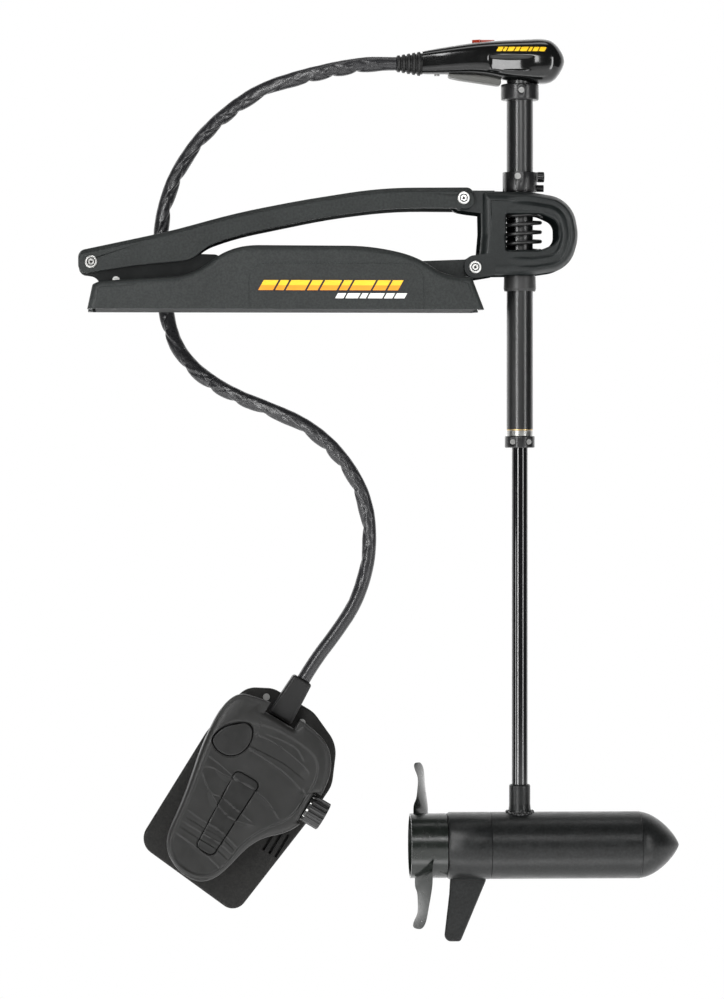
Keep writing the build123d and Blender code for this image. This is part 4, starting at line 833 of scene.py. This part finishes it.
def make_rocker():
    """The moulded tread over the rocker: a thin closed shell, dished, ribbed and rolled at its rim."""
    count = 520
    rim = rocker_outline(count, 0.7)
    TREAD["rim"] = make_line(rim, True)
    TREAD["well"] = make_line(rounded_polygon(WELL_CURVE), True)
    TREAD["steps"] = [(make_line(open_curve(points), False), height, reach)
                      for points, height, reach in STEPS]
    TREAD["lip"] = make_line(open_curve(HEEL_LIP), False)
    button = make_line(rounded_polygon(BUTTON_CURVE), True, 0.5)
    cx, cy = ROCKER_MIDDLE
    rings = 120
    shares = [1 - (1 - i / rings) ** 1.2 for i in range(1, rings + 1)]
    verts = [pedal_point(cx, cy, tread_height(cx, cy))]
    for share in shares:
        for rx, ry in rim:
            x, y = cx + (rx - cx) * share, cy + (ry - cy) * share
            z = tread_height(x, y)
            z -= 2.4 * smooth(1.7, 0.9, insert_distance(x, y))
            z += (BUTTON_FLOOR[0] - z) * smooth(1.9, 1.2, from_line(button, x, y)[0])
            verts.append(pedal_point(x, y, z))
    for share in (0.25, 0.6, 1.0):
        for rx, ry in rim:
            top = tread_height(rx, ry)
            verts.append(pedal_point(rx, ry, top + (skirt_low(ry) + 0.4 - top) * share))
    inner = []
    for rx, ry in rim:
        reach = math.hypot(rx - cx, ry - cy)
        inner.append((rx - SKIRT_WALL * (rx - cx) / reach, ry - SKIRT_WALL * (ry - cy) / reach))
    for rx, ry in inner:
        verts.append(pedal_point(rx, ry, skirt_low(ry) + 1.0))
    for rx, ry in inner:
        verts.append(pedal_point(rx, ry, SKIRT_TOP))
    underside = ROCKER_FLAT - TREAD_WALL
    for share in shares[::-4][1:]:
        for rx, ry in inner:
            x, y = cx + (rx - cx) * share, cy + (ry - cy) * share
            z = underside + (BUTTON_FLOOR[1] - underside) * smooth(3.4, 2.4, from_line(button, x, y)[0])
            verts.append(pedal_point(x, y, z))
    verts.append(pedal_point(cx, cy, underside))
    rings = (len(verts) - 2) // count
    faces = [(0, 1 + (j + 1) % count, 1 + j) for j in range(count)]
    for face in ring_faces(rings, count):
        faces.append(tuple(1 + v for v in face))
    final, start = len(verts) - 1, 1 + (rings - 1) * count
    faces += [(final, start + j, start + (j + 1) % count) for j in range(count)]
    tread = add_mesh("pedal_tread", verts, faces, "pedal_plastic", 60)
    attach(tread, "treadle")
    make_insert()


def make_insert():
    """The long strip let into the tread, flush with it."""
    rows, columns, gap = 90, 24, 0.4
    verts = []
    for layer in (0, 1):
        for i in range(rows + 1):
            y = (2 * i / rows - 1) * (INSERT_END - gap)
            half = insert_half(y) - gap - corner_inset(y)
            for j in range(columns + 1):
                x = half * (2 * j / columns - 1)
                z = tread_height(x, y) - (0.1 if 0 < j < columns and 0 < i < rows else 0.5)
                verts.append(pedal_point(x, y, z if layer == 0 else ROCKER_FLAT - INSERT_LOW))
    strip = add_mesh("tread_strip", verts, slab_faces(rows, columns), "button_plastic", 40)
    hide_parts("pedal_tread_insert")
    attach(strip, "treadle")


def make_joint(name, outline, inside, outside, top, depth):
    """A dark closed band along an outline, between two offsets from it, with its top at the given height."""
    points = [Vector(point) for point in outline]
    count = len(points)
    verts = []
    for k, point in enumerate(points):
        along = (points[(k + 1) % count] - points[k - 1]).normalized()
        out = Vector((along.y, -along.x))
        height = top(point.x, point.y)
        low = height - depth
        for shift, z in ((inside, height), (outside, height), (outside, low), (inside, low)):
            spot = point + out * shift
            verts.append(pedal_point(spot.x, spot.y, z))
    faces = [face[::-1] for face in torus_faces(count, 4)]
    band = add_mesh(name, verts, faces, "joint_black", 30)
    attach(band, "treadle")


def make_joints():
    """The dark joints round the long strip and round the button."""
    side = []
    for i in range(91):
        y = (2 * i / 90 - 1) * INSERT_END
        side.append((insert_half(y) - corner_inset(y), y))
    outline = side + [(-x, y) for x, y in reversed(side)]
    make_joint("strip_joint", outline, -0.35, 0.75, lambda x, y: tread_height(x, y) + 0.3, 1.4)
    button = rounded_polygon(BUTTON_CURVE)
    turning = sum(a[0] * b[1] - b[0] * a[1] for a, b in zip(button, button[1:] + button[:1]))
    if turning < 0:
        button.reverse()
    make_joint("button_joint", button, 0.1, 1.1, lambda x, y: ROCKER_FLAT + 0.6, 8.0)


def make_knob_marks():
    """Short white index marks round the speed knob's ring."""
    marks = 12
    verts, faces = [], []
    for i in range(marks):
        turn = 2 * math.pi * (i + 0.25) / marks
        half = 0.035 if i % 3 else 0.07
        start = len(verts)
        for r in (KNOB_R + 0.12, KNOB_R - 0.3):
            for x in (90.8, 93.4):
                for a in (turn - half, turn + half):
                    verts.append(pedal_point(x, KNOB_Y + r * math.cos(a), KNOB_Z + r * math.sin(a)))
        corners = [(0, 1, 3, 2), (4, 6, 7, 5), (0, 4, 5, 1), (2, 3, 7, 6), (0, 2, 6, 4), (1, 5, 7, 3)]
        faces += [tuple(start + v for v in face) for face in corners]
    ticks = add_mesh("knob_marks", verts, faces, "decal_white", 30)
    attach(ticks, "speed_knob")


# ---------------------------------------------------------------- cable sheath
SHEATH_TOTAL = 1.222                # length in metres that the creases are laid out over
SHEATH_ROUTE = [
    (153.6, 0, 338.5), (119, 0, 338.5), (76, 2, 332), (26, 8, 321), (-24, 20, 307), (-68, 38, 281),
    (-108, 60, 247), (-140, 82, 205), (-160, 98, 160), (-169, 104, 112), (-168, 104, 62),
    (-163, 100, 10), (-152, 88, -40), (-122, 66, -82), (-74, 42, -113), (-22, 24, -134),
    (27, 12, -155), (70, 6, -190), (102, 3, -236), (117, 1, -290), (115, 0, -346), (98, 0, -400),
    (70, 0, -442), (41.3, 0, -479.1), (26.1, 0, -504.6)]


def spline_points(name, controls):
    """Points read along the route's own smooth curve."""
    curve = bpy.data.curves.new(name + "_line", "CURVE")
    curve.dimensions = "3D"
    spline = curve.splines.new("NURBS")
    spline.points.add(len(controls) - 1)
    for point, place in zip(spline.points, controls):
        point.co = (*place, 1.0)
    spline.order_u = 3
    spline.use_endpoint_u = True
    spline.resolution_u = 24
    line = bpy.data.objects.new(name + "_line", curve)
    mesh = bpy.data.meshes.new_from_object(line)
    points = [v.co.copy() for v in mesh.vertices]
    bpy.data.objects.remove(line)
    bpy.data.curves.remove(curve)
    bpy.data.meshes.remove(mesh)
    return points


def sheath_radius(s, phi):
    """The creased sleeve's radius in metres at arc length s and angle phi round it."""
    mm = s * 1000
    calm = smooth(60, 280, (SHEATH_TOTAL - s) * 1000) * smooth(4, 40, mm)
    first = smooth(600, 540, mm)
    inner = first * max(0.0, math.sin(phi)) + (1 - first) * max(0.0, -math.sin(phi))
    start = math.pi / 2 if first > 0.5 else -math.pi / 2
    way = 1 if first > 0.5 else -1
    folds = mm / 46.0 + 0.55 * noise.noise(Vector((mm / 90.0, 4.2, 1.0)))
    share = folds - math.floor(folds)
    wide = 10.4 + 1.0 * noise.noise(Vector((mm / 70.0, 9.7, 2.0)))
    c, w = math.cos(phi), math.sin(phi)
    folded = 1.0 / math.sqrt((w / wide) ** 2 + (c / 8.3) ** 2)
    folded *= 1 - 0.36 * (1 - math.sin(math.pi * share) ** 0.6) * inner ** 1.5
    for turn, depth in ((share, 1.7 * (1 - share)), (1 - share, 1.1 * share)):
        crease = start + way * (0.15 + 2.5 * turn)
        apart = (phi - crease + math.pi) % (2 * math.pi) - math.pi
        folded += depth * (0.7 * math.exp(-((apart - 0.45 * way) / 0.35) ** 2)
                           - math.exp(-(apart / 0.22) ** 2))
    folded += 0.35 * noise.noise(Vector((c * 1.6, w * 1.6, mm / 14.0)))
    round_r = 9.3
    r = round_r + (folded - round_r) * calm
    return min(max(r, 7.1), 13.6) * MM


def sheath_length(name, controls, start_s, replaced, follow):
    """One length of the sheath from start_s along it; follow is called on the finished piece. Returns where
    it ends.
    """
    points, step, around = spline_points(name, controls), 0.0016, 40
    length = path_length(points)
    line = spread_evenly(points, max(2, round(length / step)) + 1)
    verts = []
    side = Vector((0, 1, 0))
    for i, p in enumerate(line):
        a, b = line[max(i - 1, 0)], line[min(i + 1, len(line) - 1)]
        along = (b - a).normalized()
        u = (side - along * side.dot(along)).normalized()
        v = along.cross(u)
        s = start_s + length * i / (len(line) - 1)
        for j in range(around):
            phi = 2 * math.pi * j / around
            verts.append(p + (u * math.cos(phi) + v * math.sin(phi)) * sheath_radius(s, phi))
    faces = ring_faces(len(line), around, True, True)
    piece = add_mesh(name, verts, faces, "sheath_vinyl", 180)
    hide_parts(replaced)
    follow(piece)
    return start_s + length


def make_sheath():
    """The cable sheath in four lengths; the one at the pedal rides the mount, and the others stay where they
    are laid.
    """
    route = [Vector(p) * MM for p in SHEATH_ROUTE]
    cuts = [(route[i] + route[i + 1]) / 2 for i in (5, 9, 13)]
    head = route[0:6] + [cuts[0]]
    arm = [cuts[0]] + route[6:10] + [cuts[1]]
    mount = [cuts[1]] + route[10:14] + [cuts[2]]
    pedal = [cuts[2]] + route[14:]
    s = sheath_length("sheath_head_vinyl", head, 0.0, "sheath_head",
                      lambda p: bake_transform(p))
    s = sheath_length("sheath_arm_vinyl", arm, s, "sheath_arm",
                      lambda p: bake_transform(p))
    s = sheath_length("sheath_mount_vinyl", mount, s, "sheath_mount",
                      lambda p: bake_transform(p))
    sheath_length("sheath_pedal_vinyl", pedal, s, "sheath_pedal", lambda p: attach(p, "mount"))


make_camera()
make_studio()
make_materials()
finish_cad_nodes()
make_head()
make_cover_decals()
make_bolt_details()
make_bracket_rolls()
make_weld()
make_rocker()
make_joints()
make_knob_marks()
make_sheath()
